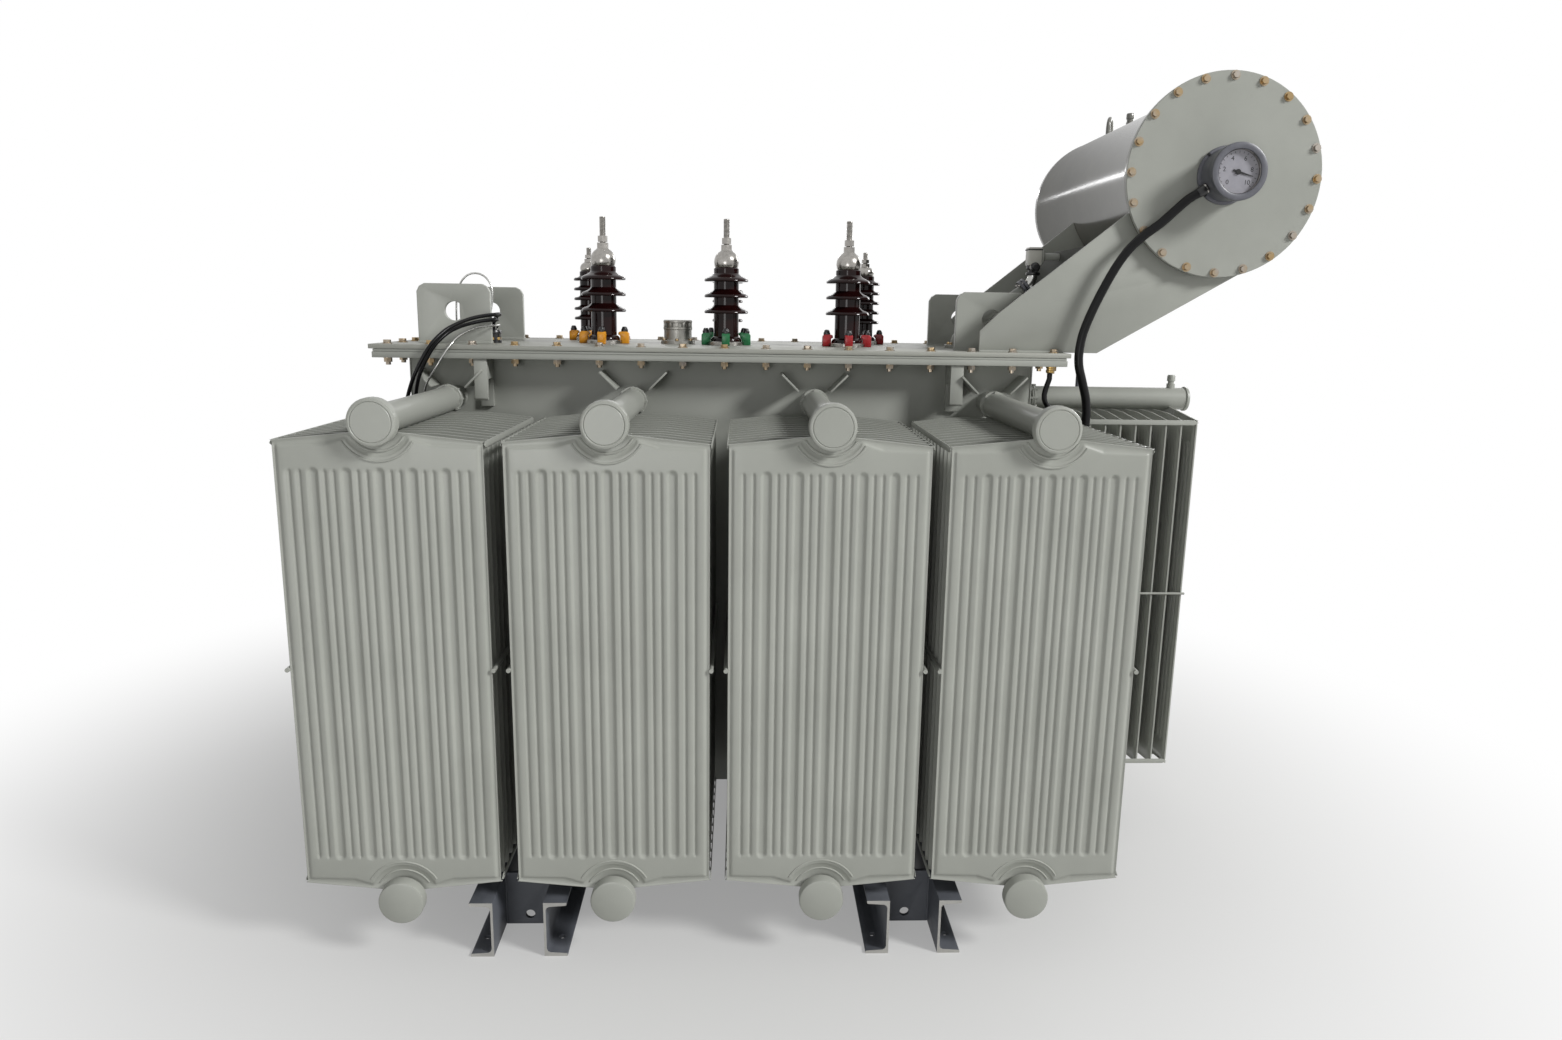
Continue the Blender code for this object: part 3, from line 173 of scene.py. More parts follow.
# Cables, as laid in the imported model, from the tank's front top corner at their own end
GAUGE_CABLE_ROUTE = (
    (0.4503, -0.0805, 0.5253), (0.4250, -0.0805, 0.5095), (0.3900, -0.0800, 0.4777),
    (0.3450, -0.0780, 0.4357), (0.3000, -0.0740, 0.4007), (0.2600, -0.0690, 0.3607),
    (0.2250, -0.0640, 0.3077), (0.1900, -0.0610, 0.2377), (0.1600, -0.0590, 0.1677),
    (0.1380, -0.0585, 0.1027), (0.1300, -0.0590, 0.0477), (0.1320, -0.0600, 0.0027),
    (0.1460, -0.0610, -0.0473), (0.1630, -0.0610, -0.1123), (0.1650, -0.0600, -0.1823),
    (0.1470, -0.0560, -0.2523), (0.1150, -0.0430, -0.3123), (0.0770, -0.0120, -0.3723),
    (0.0530, 0.0390, -0.4273), (0.0440, 0.0980, -0.4673), (0.0400, 0.1320, -0.4973),
    (0.0400, 0.1400, -0.5219), (0.0400, 0.1400, -0.5417),
)
COVER_CABLE_ROUTE = (
    (0.0440, -0.0500, -0.0222), (0.0440, -0.0500, -0.0393), (0.0330, -0.0520, -0.0743),
    (0.0300, -0.0560, -0.1023), (0.0470, -0.0560, -0.1303), (0.0760, -0.0530, -0.1463),
    (0.1050, -0.0480, -0.1643), (0.1200, -0.0430, -0.1973), (0.1100, -0.0380, -0.2423),
    (0.0760, -0.0300, -0.3023), (0.0380, -0.0220, -0.3673), (0.0230, 0.0050, -0.4223),
    (0.0260, 0.0420, -0.4673), (0.0330, 0.0640, -0.4973), (0.0350, 0.0700, -0.5219),
    (0.0350, 0.0700, -0.5417),
)
THERMOMETER_CABLE_ROUTE_A = (
    (0.2250, 0.1420, 0.0837), (0.2250, 0.1420, 0.0957), (0.2350, 0.1260, 0.1107),
    (0.2510, 0.1000, 0.1167), (0.2450, 0.0650, 0.1157), (0.2180, 0.0320, 0.1117),
    (0.1892, 0.0000, 0.1037), (0.1621, -0.0430, 0.0917), (0.1361, -0.0830, 0.0717),
    (0.1020, -0.1120, 0.0297), (0.0670, -0.1190, -0.0373), (0.0500, -0.1120, -0.0853),
    (0.0350, -0.0900, -0.1423), (0.0200, -0.0670, -0.2123), (-0.0060, -0.0450, -0.2823),
    (-0.0280, -0.0150, -0.3523), (-0.0420, 0.0300, -0.4223), (-0.0450, 0.0620, -0.4873),
    (-0.0450, 0.0700, -0.5203), (-0.0450, 0.0700, -0.5417),
)
THERMOMETER_CABLE_ROUTE_B = (
    (0.2250, 0.1580, 0.0837), (0.2250, 0.1580, 0.1037), (0.2400, 0.1370, 0.1257),
    (0.2600, 0.1000, 0.1327), (0.2510, 0.0550, 0.1317), (0.2240, 0.0150, 0.1267),
    (0.1940, -0.0220, 0.1177), (0.1650, -0.0630, 0.1027), (0.1360, -0.1010, 0.0807),
    (0.1010, -0.1330, 0.0377), (0.0620, -0.1420, -0.0323), (0.0380, -0.1360, -0.0853),
    (0.0150, -0.1120, -0.1423), (-0.0050, -0.0820, -0.2123), (-0.0270, -0.0550, -0.2823),
    (-0.0460, -0.0150, -0.3523), (-0.0510, 0.0500, -0.4123), (-0.0470, 0.1150, -0.4673),
    (-0.0450, 0.1380, -0.4973), (-0.0450, 0.1420, -0.5223), (-0.0450, 0.1420, -0.5417),
)
CAPILLARY_ROUTE = (
    (0.2380, 0.1500, 0.0837), (0.2380, 0.1500, 0.0907), (0.2470, 0.1350, 0.0977),
    (0.2560, 0.1000, 0.0987), (0.2430, 0.0600, 0.0967), (0.2071, 0.0080, 0.0912),
    (0.1764, -0.0720, 0.0687), (0.1540, -0.1120, 0.0377), (0.1200, -0.1300, -0.0183),
    (0.0810, -0.1140, -0.0763), (0.0600, -0.0850, -0.1323), (0.0450, -0.0550, -0.2023),
    (0.0200, -0.0350, -0.2823), (-0.0130, -0.0020, -0.3623), (-0.0250, 0.0500, -0.4323),
    (-0.0220, 0.0950, -0.4923), (-0.0200, 0.1060, -0.5203), (-0.0200, 0.1060, -0.5417),
)
CAPILLARY_LOOP_ROUTE = (
    (0.2120, 0.1500, 0.0837), (0.2120, 0.1500, 0.0977), (0.2180, 0.1530, 0.1377),
    (0.2240, 0.1600, 0.1827), (0.2190, 0.1650, 0.2257), (0.1970, 0.1680, 0.2537),
    (0.1702, 0.1700, 0.2617), (0.1430, 0.1710, 0.2547), (0.1200, 0.1730, 0.2297),
    (0.1060, 0.1750, 0.1877), (0.1010, 0.1780, 0.1327), (0.1010, 0.1800, 0.0927),
    (0.1010, 0.1800, 0.0714),
)
GAUGE_CABLE_RADIUS = 0.014
COVER_CABLE_RADIUS = 0.0085
THERMOMETER_CABLE_RADIUS = 0.006
CAPILLARY_RADIUS = 0.003
CORD_STEP = 0.012
CORD_BEVEL_RESOLUTION = 4

# Steps round a bend, along a saddle's arc, and figures on the dial
BEND_STEPS = 6
SADDLE_STEPS = 24
DIAL_FIGURES = 6

# A direction, two turns and the sides that come back in many pieces
UP = Vector((0, 0, 1))
UPRIGHT = Matrix.Rotation(math.pi / 2, 4, "X")
HALF_TURN = Matrix.Rotation(math.pi, 4, "Z")
SIDES = (("left", -1), ("right", 1))
ENDS = (("front", -1), ("back", 1))

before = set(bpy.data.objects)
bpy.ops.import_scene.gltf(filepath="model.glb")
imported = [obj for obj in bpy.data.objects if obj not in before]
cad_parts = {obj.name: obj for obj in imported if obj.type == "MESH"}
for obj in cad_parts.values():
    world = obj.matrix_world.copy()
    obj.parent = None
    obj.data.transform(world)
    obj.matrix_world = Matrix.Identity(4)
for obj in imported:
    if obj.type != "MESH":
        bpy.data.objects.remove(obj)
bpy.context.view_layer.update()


# Making and finishing pieces

def linear(code):
    """The linear colour of an sRGB hex value."""
    channels = [int(code[i:i + 2], 16) / 255 for i in (0, 2, 4)]
    made = [c / 12.92 if c <= 0.04045 else ((c + 0.055) / 1.055) ** 2.4 for c in channels]
    return (*made, 1)


def deselect():
    bpy.ops.object.select_all(action="DESELECT")


def active():
    return bpy.context.view_layer.objects.active


def edit():
    bpy.ops.object.mode_set(mode="EDIT")


def leave():
    bpy.ops.object.mode_set(mode="OBJECT")


def smooth(piece, angle=SMOOTH_ANGLE):
    deselect()
    piece.select_set(True)
    bpy.context.view_layer.objects.active = piece
    bpy.ops.object.shade_smooth_by_angle(angle=angle)
    return piece


def modified(piece, kind, **settings):
    """Puts a modifier on a piece and applies it."""
    step = piece.modifiers.new(kind.lower(), kind)
    for name, value in settings.items():
        setattr(step, name, value)
    bpy.context.view_layer.objects.active = piece
    bpy.ops.object.modifier_apply(modifier=step.name)


def bevelled(piece, width, segments=2):
    modified(piece, "BEVEL", width=width, segments=segments, limit_method="ANGLE")


def settled(name, surface, place=None):
    """Names the new piece, puts its place into its mesh and gives it its finish."""
    piece = active()
    bpy.ops.object.transform_apply(location=True, rotation=True, scale=True)
    piece.name = name
    piece.data.name = name
    piece.data.materials.clear()
    piece.data.materials.append(surface)
    if place is not None:
        piece.data.transform(place)
    return piece


def block(name, low, high, surface, edge=EDGE):
    low, high = Vector(low), Vector(high)
    deselect()
    bpy.ops.mesh.primitive_cube_add(size=1, location=(low + high) / 2, scale=high - low)
    piece = settled(name, surface)
    if edge:
        bevelled(piece, edge)
    return smooth(piece)


def draw_line(points):
    """Leaves a line in edit mode, drawn by extruding one point from place to place."""
    deselect()
    bpy.ops.mesh.primitive_plane_add(size=1)
    edit()
    bpy.ops.mesh.select_all(action="SELECT")
    bpy.ops.mesh.merge(type="CENTER")
    bpy.ops.transform.translate(value=points[0])
    for near, far in zip(points, points[1:]):
        step = Vector(far) - Vector(near)
        bpy.ops.mesh.extrude_region_move(TRANSFORM_OT_translate={"value": step})
    bpy.ops.mesh.select_all(action="SELECT")


def turned(name, profile, surface, place=None, sides=ROUND_SIDES):
    """A piece turned about Z from (radius, height) pairs, closed on the axis at both ends."""
    draw_line([(radius, 0, height) for radius, height in profile])
    bpy.ops.mesh.spin(steps=sides, angle=2 * math.pi, center=(0, 0, 0), axis=(0, 0, 1))
    bpy.ops.mesh.select_all(action="SELECT")
    bpy.ops.mesh.remove_doubles(threshold=MERGE)
    bpy.ops.mesh.normals_make_consistent(inside=False)
    leave()
    return smooth(settled(name, surface, place))


def disc_profile(radius, low, high, edge):
    """A flat disc with a chamfer round both faces."""
    return [(0, low), (radius - edge, low), (radius, low + edge), (radius, high - edge),
            (radius - edge, high), (0, high)]


def plate(name, outline, thickness, surface, place=None, edge=EDGE):
    """A plate cut to an outline in X and Y, with its thickness along Z."""
    draw_line([(x, y, 0) for x, y in outline])
    bpy.ops.mesh.edge_face_add()
    bpy.ops.mesh.extrude_region_move(TRANSFORM_OT_translate={"value": (0, 0, thickness)})
    bpy.ops.mesh.select_all(action="SELECT")
    bpy.ops.mesh.normals_make_consistent(inside=False)
    leave()
    piece = settled(name, surface)
    if edge:
        bevelled(piece, edge)
    if place is not None:
        piece.data.transform(place)
    return smooth(piece)


def along(origin, direction):
    """The matrix that carries the Z axis to a direction at an origin."""
    turn = Vector((0, 0, 1)).rotation_difference(Vector(direction))
    return Matrix.Translation(origin) @ turn.to_matrix().to_4x4()


def bar(name, start, end, radius, surface, sides=SMALL_SIDES):
    """A round or a six-sided bar between two points."""
    start, end = Vector(start), Vector(end)
    reach = (end - start).length
    deselect()
    bpy.ops.mesh.primitive_cylinder_add(
        vertices=sides, radius=radius, depth=reach, location=(0, 0, reach / 2))
    return smooth(settled(name, surface, along(start, end - start)))


def round_line(name, places, radius, resolution):
    """A curve with a round section through a row of places."""
    curve = bpy.data.curves.new(name, "CURVE")
    curve.dimensions = "3D"
    curve.bevel_depth = radius
    curve.bevel_resolution = resolution
    curve.use_fill_caps = True
    spline = curve.splines.new("POLY")
    spline.points.add(len(places) - 1)
    for target, place in zip(spline.points, places):
        target.co = (*place, 1)
    made = bpy.data.objects.new(name, curve)
    bpy.context.collection.objects.link(made)
    return made


def swept(name, places, radius, surface, resolution=2):
    """A round bead or tube through a row of places."""
    made = round_line(name, places, radius, resolution)
    deselect()
    made.select_set(True)
    bpy.context.view_layer.objects.active = made
    bpy.ops.object.convert(target="MESH")
    return smooth(settled(name, surface))


def joined(name, pieces):
    deselect()
    for piece in pieces:
        piece.select_set(True)
    bpy.context.view_layer.objects.active = pieces[0]
    bpy.ops.object.join()
    made = active()
    made.name = name
    made.data.name = name
    return made


def copied(piece, place, name="copy"):
    made = piece.copy()
    made.data = piece.data.copy()
    made.name = name
    bpy.context.collection.objects.link(made)
    made.data.transform(place)
    return made


def repeated(name, piece, places):
    """One piece made of copies of another, which isn't kept."""
    copies = [copied(piece, place) for place in places]
    bpy.data.objects.remove(piece)
    return joined(name, copies)


def moved(x, y, z):
    return Matrix.Translation((x, y, z))


def on_tank(x, y, z):
    return Matrix.Translation((x + TANK_X, y, z))


def ring_places(place, count, turn_share=0.0, radius=0.0, height=0.0):
    """Places round an axis, the first one turned by a share of the step between them."""
    return [place @ Matrix.Rotation(2 * math.pi * (i + turn_share) / count, 4, "Z")
            @ moved(radius, 0, height) for i in range(count)]


def fixed(piece, *nodes):
    """Sets a finished piece on the transformer, in place of the nodes that it dresses."""
    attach(piece, "root")
    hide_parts(*nodes)


# Materials

def added(tree, kind, settings=None, links=None):
    """Adds a node with its settings, and sets or links its inputs."""
    made = tree.nodes.new(kind)
    for name, value in (settings or {}).items():
        setattr(made, name, value)
    for socket, value in (links or {}).items():
        if isinstance(value, bpy.types.NodeSocket):
            tree.links.new(value, made.inputs[socket])
        else:
            made.inputs[socket].default_value = value
    return made


def new_material(name):
    made = bpy.data.materials.new(name)
    made.use_nodes = True
    tree = made.node_tree
    return made, tree, tree.nodes["Principled BSDF"]


def mottled(name, codes, roughness, size_mm, metallic=0.0, bump_mm=0.0, grain_mm=1.5,
            coat=0.0, spread=0.5, specular=0.5):
    """A surface between two colours that drift over size_mm, with a fine grain to it."""
    made, tree, shader = new_material(name)
    place = added(tree, "ShaderNodeTexCoord")
    drift = added(tree, "ShaderNodeTexNoise", None, {
        "Vector": place.outputs["Object"], "Scale": 1000 / size_mm, "Detail": 4.0,
        "Roughness": 0.6})
    blend = added(tree, "ShaderNodeMapRange", None, {
        "Value": drift.outputs["Fac"], "From Min": 0.5 - spread / 2, "From Max": 0.5 + spread / 2})
    colours = added(tree, "ShaderNodeMix", {"data_type": "RGBA"}, {0: blend.outputs["Result"]})
    colours.inputs[6].default_value = linear(codes[0])
    colours.inputs[7].default_value = linear(codes[1])
    tree.links.new(colours.outputs[2], shader.inputs["Base Color"])
    shader.inputs["Metallic"].default_value = metallic
    shader.inputs["Specular IOR Level"].default_value = specular
    shader.inputs["Coat Weight"].default_value = coat
    shader.inputs["Coat Roughness"].default_value = 0.08
    gloss = added(tree, "ShaderNodeMapRange", None, {
        "Value": drift.outputs["Fac"], "From Min": 0.3, "From Max": 0.7,
        "To Min": roughness[0], "To Max": roughness[1]})
    tree.links.new(gloss.outputs["Result"], shader.inputs["Roughness"])
    if bump_mm:
        grain = added(tree, "ShaderNodeTexNoise", None, {
            "Vector": place.outputs["Object"], "Scale": 1000 / grain_mm, "Detail": 2.0})
        bump = added(tree, "ShaderNodeBump", None, {
            "Height": grain.outputs["Fac"], "Strength": 0.35, "Distance": bump_mm / 1000})
        tree.links.new(bump.outputs["Normal"], shader.inputs["Normal"])
    return made


# Sprayed alkyd enamel on steel: even, half glossy, with a faint orange peel
ENAMEL = mottled("grey_alkyd_enamel", ("999B94", "A2A49D"), (0.28, 0.38), 260,
                 bump_mm=0.25, grain_mm=9, specular=0.35)
# The same enamel on the cover: a little dust makes it duller, and its colour is set a touch darker
# as painted shade, to offset the strong light on its top
DUST_AND_SHADE_ENAMEL = mottled("dust_and_shade_grey_enamel", ("96978F", "A1A29A"), (0.36, 0.52), 180,
                       bump_mm=0.25, grain_mm=9)
# The drum's enamel, which is glossier, so that it shows the light as a long streak
GLOSSY_ENAMEL = mottled("glossy_grey_enamel", ("75756F", "83827B"), (0.13, 0.19), 300,
                        bump_mm=0.15, grain_mm=12)
# Dark priming enamel on the skid, scuffed and slightly dusty
SKID_ENAMEL = mottled("dark_skid_enamel", ("4B4E54", "5A5D63"), (0.42, 0.60), 70,
                      bump_mm=0.3, grain_mm=6)
# Sawn ends of the skid's channels, only thinly primed, so that they show paler
SAWN_STEEL = mottled("primed_saw_cut", ("9B9A96", "ABAAA5"), (0.40, 0.55), 30,
                     bump_mm=0.2, grain_mm=3)
# Painted shade on the plate between the brackets, which sits in the drum's shadow: a dark grey,
# flat, with hardly any gloss
SHADE_GREY = mottled("painted_shade_grey", ("52534F", "5E5F5B"), (0.62, 0.75), 60, bump_mm=0.2,
                 grain_mm=4, specular=0.12)
# Glazed electrical porcelain: dark brown with a red depth and a wet gloss
PORCELAIN = mottled("brown_glazed_porcelain", ("140606", "210A0A"), (0.06, 0.12), 40,
                    specular=0.22)
# Tinned and zinc-plated steel: bright, slightly milky
BRIGHT_ZINC = mottled("bright_zinc_plate", ("8B8884", "A8A5A0"), (0.16, 0.30), 12, metallic=1.0)
# Yellow chromate over zinc on the bolts
YELLOW_ZINC = mottled("yellow_chromate_zinc", ("A18A66", "98928A"), (0.26, 0.42), 130,
                      metallic=1.0, spread=0.22)
# Cast and brushed body of the relief valve: grey metal, a little rough
CAST_ZINC = mottled("brushed_cast_body", ("84837F", "97958F"), (0.34, 0.46), 16, metallic=1.0,
                    bump_mm=0.15, grain_mm=2)
# Turned brass with a thin film of oxide
BRASS = mottled("turned_brass", ("A88B55", "B99B63"), (0.24, 0.36), 8, metallic=1.0)
# Cast aluminium of the gauge under a thin grey lacquer
CAST_ALUMINIUM = mottled("lacquered_cast_aluminium", ("55565D", "62636A"), (0.30, 0.42), 20,
                         bump_mm=0.2, grain_mm=2)
# Nitrile rubber: matt and nearly black
NITRILE = mottled("nitrile_rubber", ("1E1E1E", "2A2A2A"), (0.65, 0.80), 15)
# Plasticised PVC sheath: black with a dull sheen
SHEATH = mottled("black_pvc_sheath", ("050506", "0A0A0B"), (0.28, 0.36), 20,
                 specular=0.2)
# Drawn copper capillary, tinned: thin and bright
TINNED_COPPER = mottled("tinned_copper_tube", ("A9A9A6", "B8B8B5"), (0.20, 0.30), 10,
                        metallic=1.0)
# Phase enamels brushed on the clamps
YELLOW_ENAMEL = mottled("yellow_phase_enamel", ("C9820A", "DE9A1C"), (0.24, 0.36), 14)
GREEN_ENAMEL = mottled("green_phase_enamel", ("0E5A33", "17703F"), (0.24, 0.36), 14)
RED_ENAMEL = mottled("red_phase_enamel", ("8E1016", "A6161E"), (0.24, 0.36), 14)
# Black phenolic handle and screw heads
BLACK_PHENOLIC = mottled("black_phenolic", ("101011", "1A1A1B"), (0.25, 0.35), 12)
# Printed dial with plain black figures: its white lacquer is set a violet mid grey, as painted
# shade for the glass over it and its deep bezel
SHADED_DIAL = mottled("shaded_dial_lacquer", ("8C8B92", "9A99A0"), (0.30, 0.36), 30)
# Pale cream enamel on the relay's small housing
CREAM_ENAMEL = mottled("cream_enamel", ("C4C3BA", "D2D1C8"), (0.30, 0.42), 30)
# Orange silica gel behind the breather's glass
SILICA_GEL = mottled("orange_silica_gel", ("C46A1C", "E09038"), (0.10, 0.20), 4,
                     bump_mm=1.2, grain_mm=4, coat=0.8)


# Camera, light and floor

WORLD_STRENGTH = 0.24
# From the tank's middle: where the floor starts to turn white, and where it is white
SHADOW_REACH = 1.05
WHITE_REACH = 3.4
NEAR_WHITE_SHARE = 0.30
FLOOR_SIZE = 60
LOOK_AT = (0, 0, 1.0)
DRUM_LOOK_AT = (0.9, 0.1, 2.18)


def set_camera():
    yaw, pitch, roll = CAMERA_YAW, CAMERA_PITCH, CAMERA_ROLL
    forward = Vector((
        math.sin(yaw) * math.cos(pitch), math.cos(yaw) * math.cos(pitch), -math.sin(pitch)))
    level = Vector((math.cos(yaw), -math.sin(yaw), 0))
    upright = level.cross(forward)
    right = level * math.cos(roll) + upright * math.sin(roll)
    up = upright * math.cos(roll) - level * math.sin(roll)
    lens = bpy.data.cameras.new("camera")
    lens.lens = CAMERA_LENS
    lens.sensor_width = CAMERA_SENSOR
    made = bpy.data.objects.new("camera", lens)
    turn = Matrix((right, up, -forward)).transposed().to_4x4()
    made.matrix_world = Matrix.Translation(CAMERA_PLACE) @ turn
    bpy.context.collection.objects.link(made)
    bpy.context.scene.camera = made


def add_lamp(name, place, target, size, power, height=None):
    """A round lamp, or a strip of a given height."""
    light = bpy.data.lights.new(name, "AREA")
    light.shape = "RECTANGLE" if height else "DISK"
    light.size = size
    if height:
        light.size_y = height
    light.energy = power
    made = bpy.data.objects.new(name, light)
    aim = (Vector(target) - Vector(place)).to_track_quat("-Z", "Y")
    made.matrix_world = Matrix.Translation(place) @ aim.to_matrix().to_4x4()
    bpy.context.collection.objects.link(made)


def seen_directly(tree):
    """1 for rays that show a background: from the camera, a reflection or through glass."""
    path = added(tree, "ShaderNodeLightPath")
    first = added(tree, "ShaderNodeMath", {"operation": "ADD", "use_clamp": True}, {
        0: path.outputs["Is Camera Ray"], 1: path.outputs["Is Glossy Ray"]})
    both = added(tree, "ShaderNodeMath", {"operation": "ADD", "use_clamp": True}, {
        0: first.outputs[0], 1: path.outputs["Is Transmission Ray"]})
    return both.outputs[0]


def set_world():
    world = bpy.data.worlds.new("studio")
    bpy.context.scene.world = world
    world.use_nodes = True
    tree = world.node_tree
    light = tree.nodes["Background"]
    light.inputs["Color"].default_value = (1, 1, 1, 1)
    light.inputs["Strength"].default_value = WORLD_STRENGTH
    white = added(tree, "ShaderNodeBackground", None, {"Color": (1, 1, 1, 1), "Strength": 1.0})
    both = added(tree, "ShaderNodeMixShader", None, {
        0: seen_directly(tree), 1: light.outputs[0], 2: white.outputs[0]})
    tree.links.new(both.outputs[0], tree.nodes["World Output"].inputs["Surface"])


def set_floor():
    """A pale floor that keeps the shadow near the object and fades to white further out."""
    deselect()
    bpy.ops.mesh.primitive_plane_add(size=FLOOR_SIZE)
    material, tree, shader = new_material("pale_floor")
    shader.inputs["Base Color"].default_value = linear("C2C2C0")
    shader.inputs["Roughness"].default_value = 0.9
    white = added(tree, "ShaderNodeEmission", None, {"Color": (1, 1, 1, 1), "Strength": 1.0})
    place = added(tree, "ShaderNodeTexCoord")
    middle = added(tree, "ShaderNodeVectorMath", {"operation": "SUBTRACT"}, {
        0: place.outputs["Object"]})
    middle.inputs[1].default_value = (TANK_X, 0, 0)
    away = added(tree, "ShaderNodeVectorMath", {"operation": "LENGTH"}, {
        0: middle.outputs["Vector"]})
    fade = added(tree, "ShaderNodeMapRange", {"interpolation_type": "SMOOTHSTEP"}, {
        "Value": away.outputs["Value"], "From Min": SHADOW_REACH, "From Max": WHITE_REACH,
        "To Min": NEAR_WHITE_SHARE, "To Max": 1.0})
    share = added(tree, "ShaderNodeMath", {"operation": "MULTIPLY"}, {
        0: seen_directly(tree), 1: fade.outputs["Result"]})
    both = added(tree, "ShaderNodeMixShader", None, {
        0: share.outputs[0], 1: shader.outputs[0], 2: white.outputs[0]})
    output = tree.nodes["Material Output"]
    tree.links.new(both.outputs[0], output.inputs["Surface"])
    settled("floor", material)


set_camera()
set_world()
set_floor()
add_lamp("key", (14.6, -9.0, 11.6), LOOK_AT, size=4.5, power=3600)
add_lamp("fill", (-1.8, -6.6, 1.2), (-0.3, -0.3, 1.4), size=2.2, power=62)
add_lamp("back", (8.0, 9.0, 5.0), LOOK_AT, size=4.0, power=300)
# A narrow strip behind the drum, which draws the long highlight on its shell
add_lamp("streak", (-0.20, 3.5, 2.80), DRUM_LOOK_AT, size=2.4, power=6, height=0.10)
bpy.context.scene.view_settings.view_transform = "Standard"


# Cables

def smooth_route(route, side):
    """Points about a step apart on a Catmull-Rom curve through the route's own points."""
    corner = Vector((side * TANK_HALF_LENGTH + TANK_X, -TANK_HALF_DEPTH, TANK_TOP))
    points = [Vector(point) + corner for point in route]
    padded = [2 * points[0] - points[1], *points, 2 * points[-1] - points[-2]]
    result = [points[0]]
    for before, start, end, after in zip(padded, padded[1:], padded[2:], padded[3:]):
        count = max(1, round((end - start).length / CORD_STEP))
        for i in range(1, count + 1):
            t = i / count
            result.append(0.5 * (
                2 * start + (end - before) * t
                + (2 * before - 5 * start + 4 * end - after) * t ** 2
                + (3 * start - before - 3 * end + after) * t ** 3))
    return result


def make_cord(node, route, side, radius, surface):
    """A cord from the tank's corner at one side: -1 for the left, 1 for the right."""
    points = smooth_route(route, side)
    made = round_line(node + "_sheath", points, radius, CORD_BEVEL_RESOLUTION)
    made.data.materials.append(surface)
    fixed(made, node)


make_cord("gauge_cable", GAUGE_CABLE_ROUTE, 1, GAUGE_CABLE_RADIUS, SHEATH)
make_cord("cover_cable", COVER_CABLE_ROUTE, 1, COVER_CABLE_RADIUS, SHEATH)
make_cord("thermometer_cable_a", THERMOMETER_CABLE_ROUTE_A, -1, THERMOMETER_CABLE_RADIUS, SHEATH)
make_cord("thermometer_cable_b", THERMOMETER_CABLE_ROUTE_B, -1, THERMOMETER_CABLE_RADIUS, SHEATH)
make_cord("capillary", CAPILLARY_ROUTE, -1, CAPILLARY_RADIUS, TINNED_COPPER)
make_cord("capillary_loop", CAPILLARY_LOOP_ROUTE, -1, CAPILLARY_RADIUS, TINNED_COPPER)


# Radiators

def both_sides(values):
    return sorted({-v for v in values} | set(values))


def panel_columns(fine):
    """Places across a panel, each with the height that the sheet has there without grooves."""
    rim = [(PANEL_HALF - depth, height) for depth, height in RIM_STEPS]
    rim += [(PANEL_HALF - RIM_WIDTH - shift, height) for shift, height in FLANK]
    wide, narrow = WIDE_GROOVES, NARROW_GROOVES
    wide_offsets, narrow_offsets = WIDE_OFFSETS, NARROW_OFFSETS
    if not fine:
        rim = [rim[i] for i in INNER_COLUMNS]
        wide, narrow = (WIDE_GROOVES[0], WIDE_GROOVES[-1]), NARROW_GROOVES[3:]
        wide_offsets, narrow_offsets = WIDE_OFFSETS[::2], NARROW_OFFSETS[::2]
    heights = {side * x: height for x, height in rim for side in (1, -1)}
    for centres, offsets in ((wide, wide_offsets), (both_sides(narrow), narrow_offsets)):
        for centre in centres:
            for offset in both_sides(offsets):
                heights[centre + offset] = BODY_HEIGHT
    return sorted(heights.items())


def body_edge(x, sign, shift):
    """The height on the panel where its raised body starts, moved inwards by a shift."""
    corner = PANEL_TOP if sign > 0 else PANEL_BOTTOM
    axis = UPPER_AXIS if sign > 0 else LOWER_AXIS
    for (near, low), (far, high) in zip(BODY_LINE, BODY_LINE[1:]):
        if near <= abs(x) <= far:
            rise = low + (high - low) * (abs(x) - near) / (far - near)
    line = corner + sign * (rise - shift)
    radius = RECESS_RADIUS + shift
    if abs(x) >= radius:
        return line
    circle = axis - sign * math.sqrt(radius ** 2 - x ** 2)
    return min(line, circle) if sign > 0 else max(line, circle)


def panel_rows(fine, sign):
    """From an end's edge inwards: a function of x for the place, and the sheet's height."""
    corner = PANEL_TOP if sign > 0 else PANEL_BOTTOM
    end = GROOVE_TOP if sign > 0 else GROOVE_BOTTOM

    def at_edge(depth):
        return lambda x: corner + sign * POINT_RISE * (1 - abs(x) / PANEL_HALF) - sign * depth

    def at_body(shift):
        return lambda x: body_edge(x, sign, shift)

    def at_level(step):
        return lambda x: end - sign * step

    rows = [(at_edge(depth), height) for depth, height in RIM_STEPS]
    rows += [(at_body(shift), height) for shift, height in FLANK]
    if not fine:
        rows = [rows[i] for i in INNER_ROWS]
    steps = END_STEPS if fine else END_STEPS[1::3]
    return rows + [(at_level(step), BODY_HEIGHT) for step in steps]


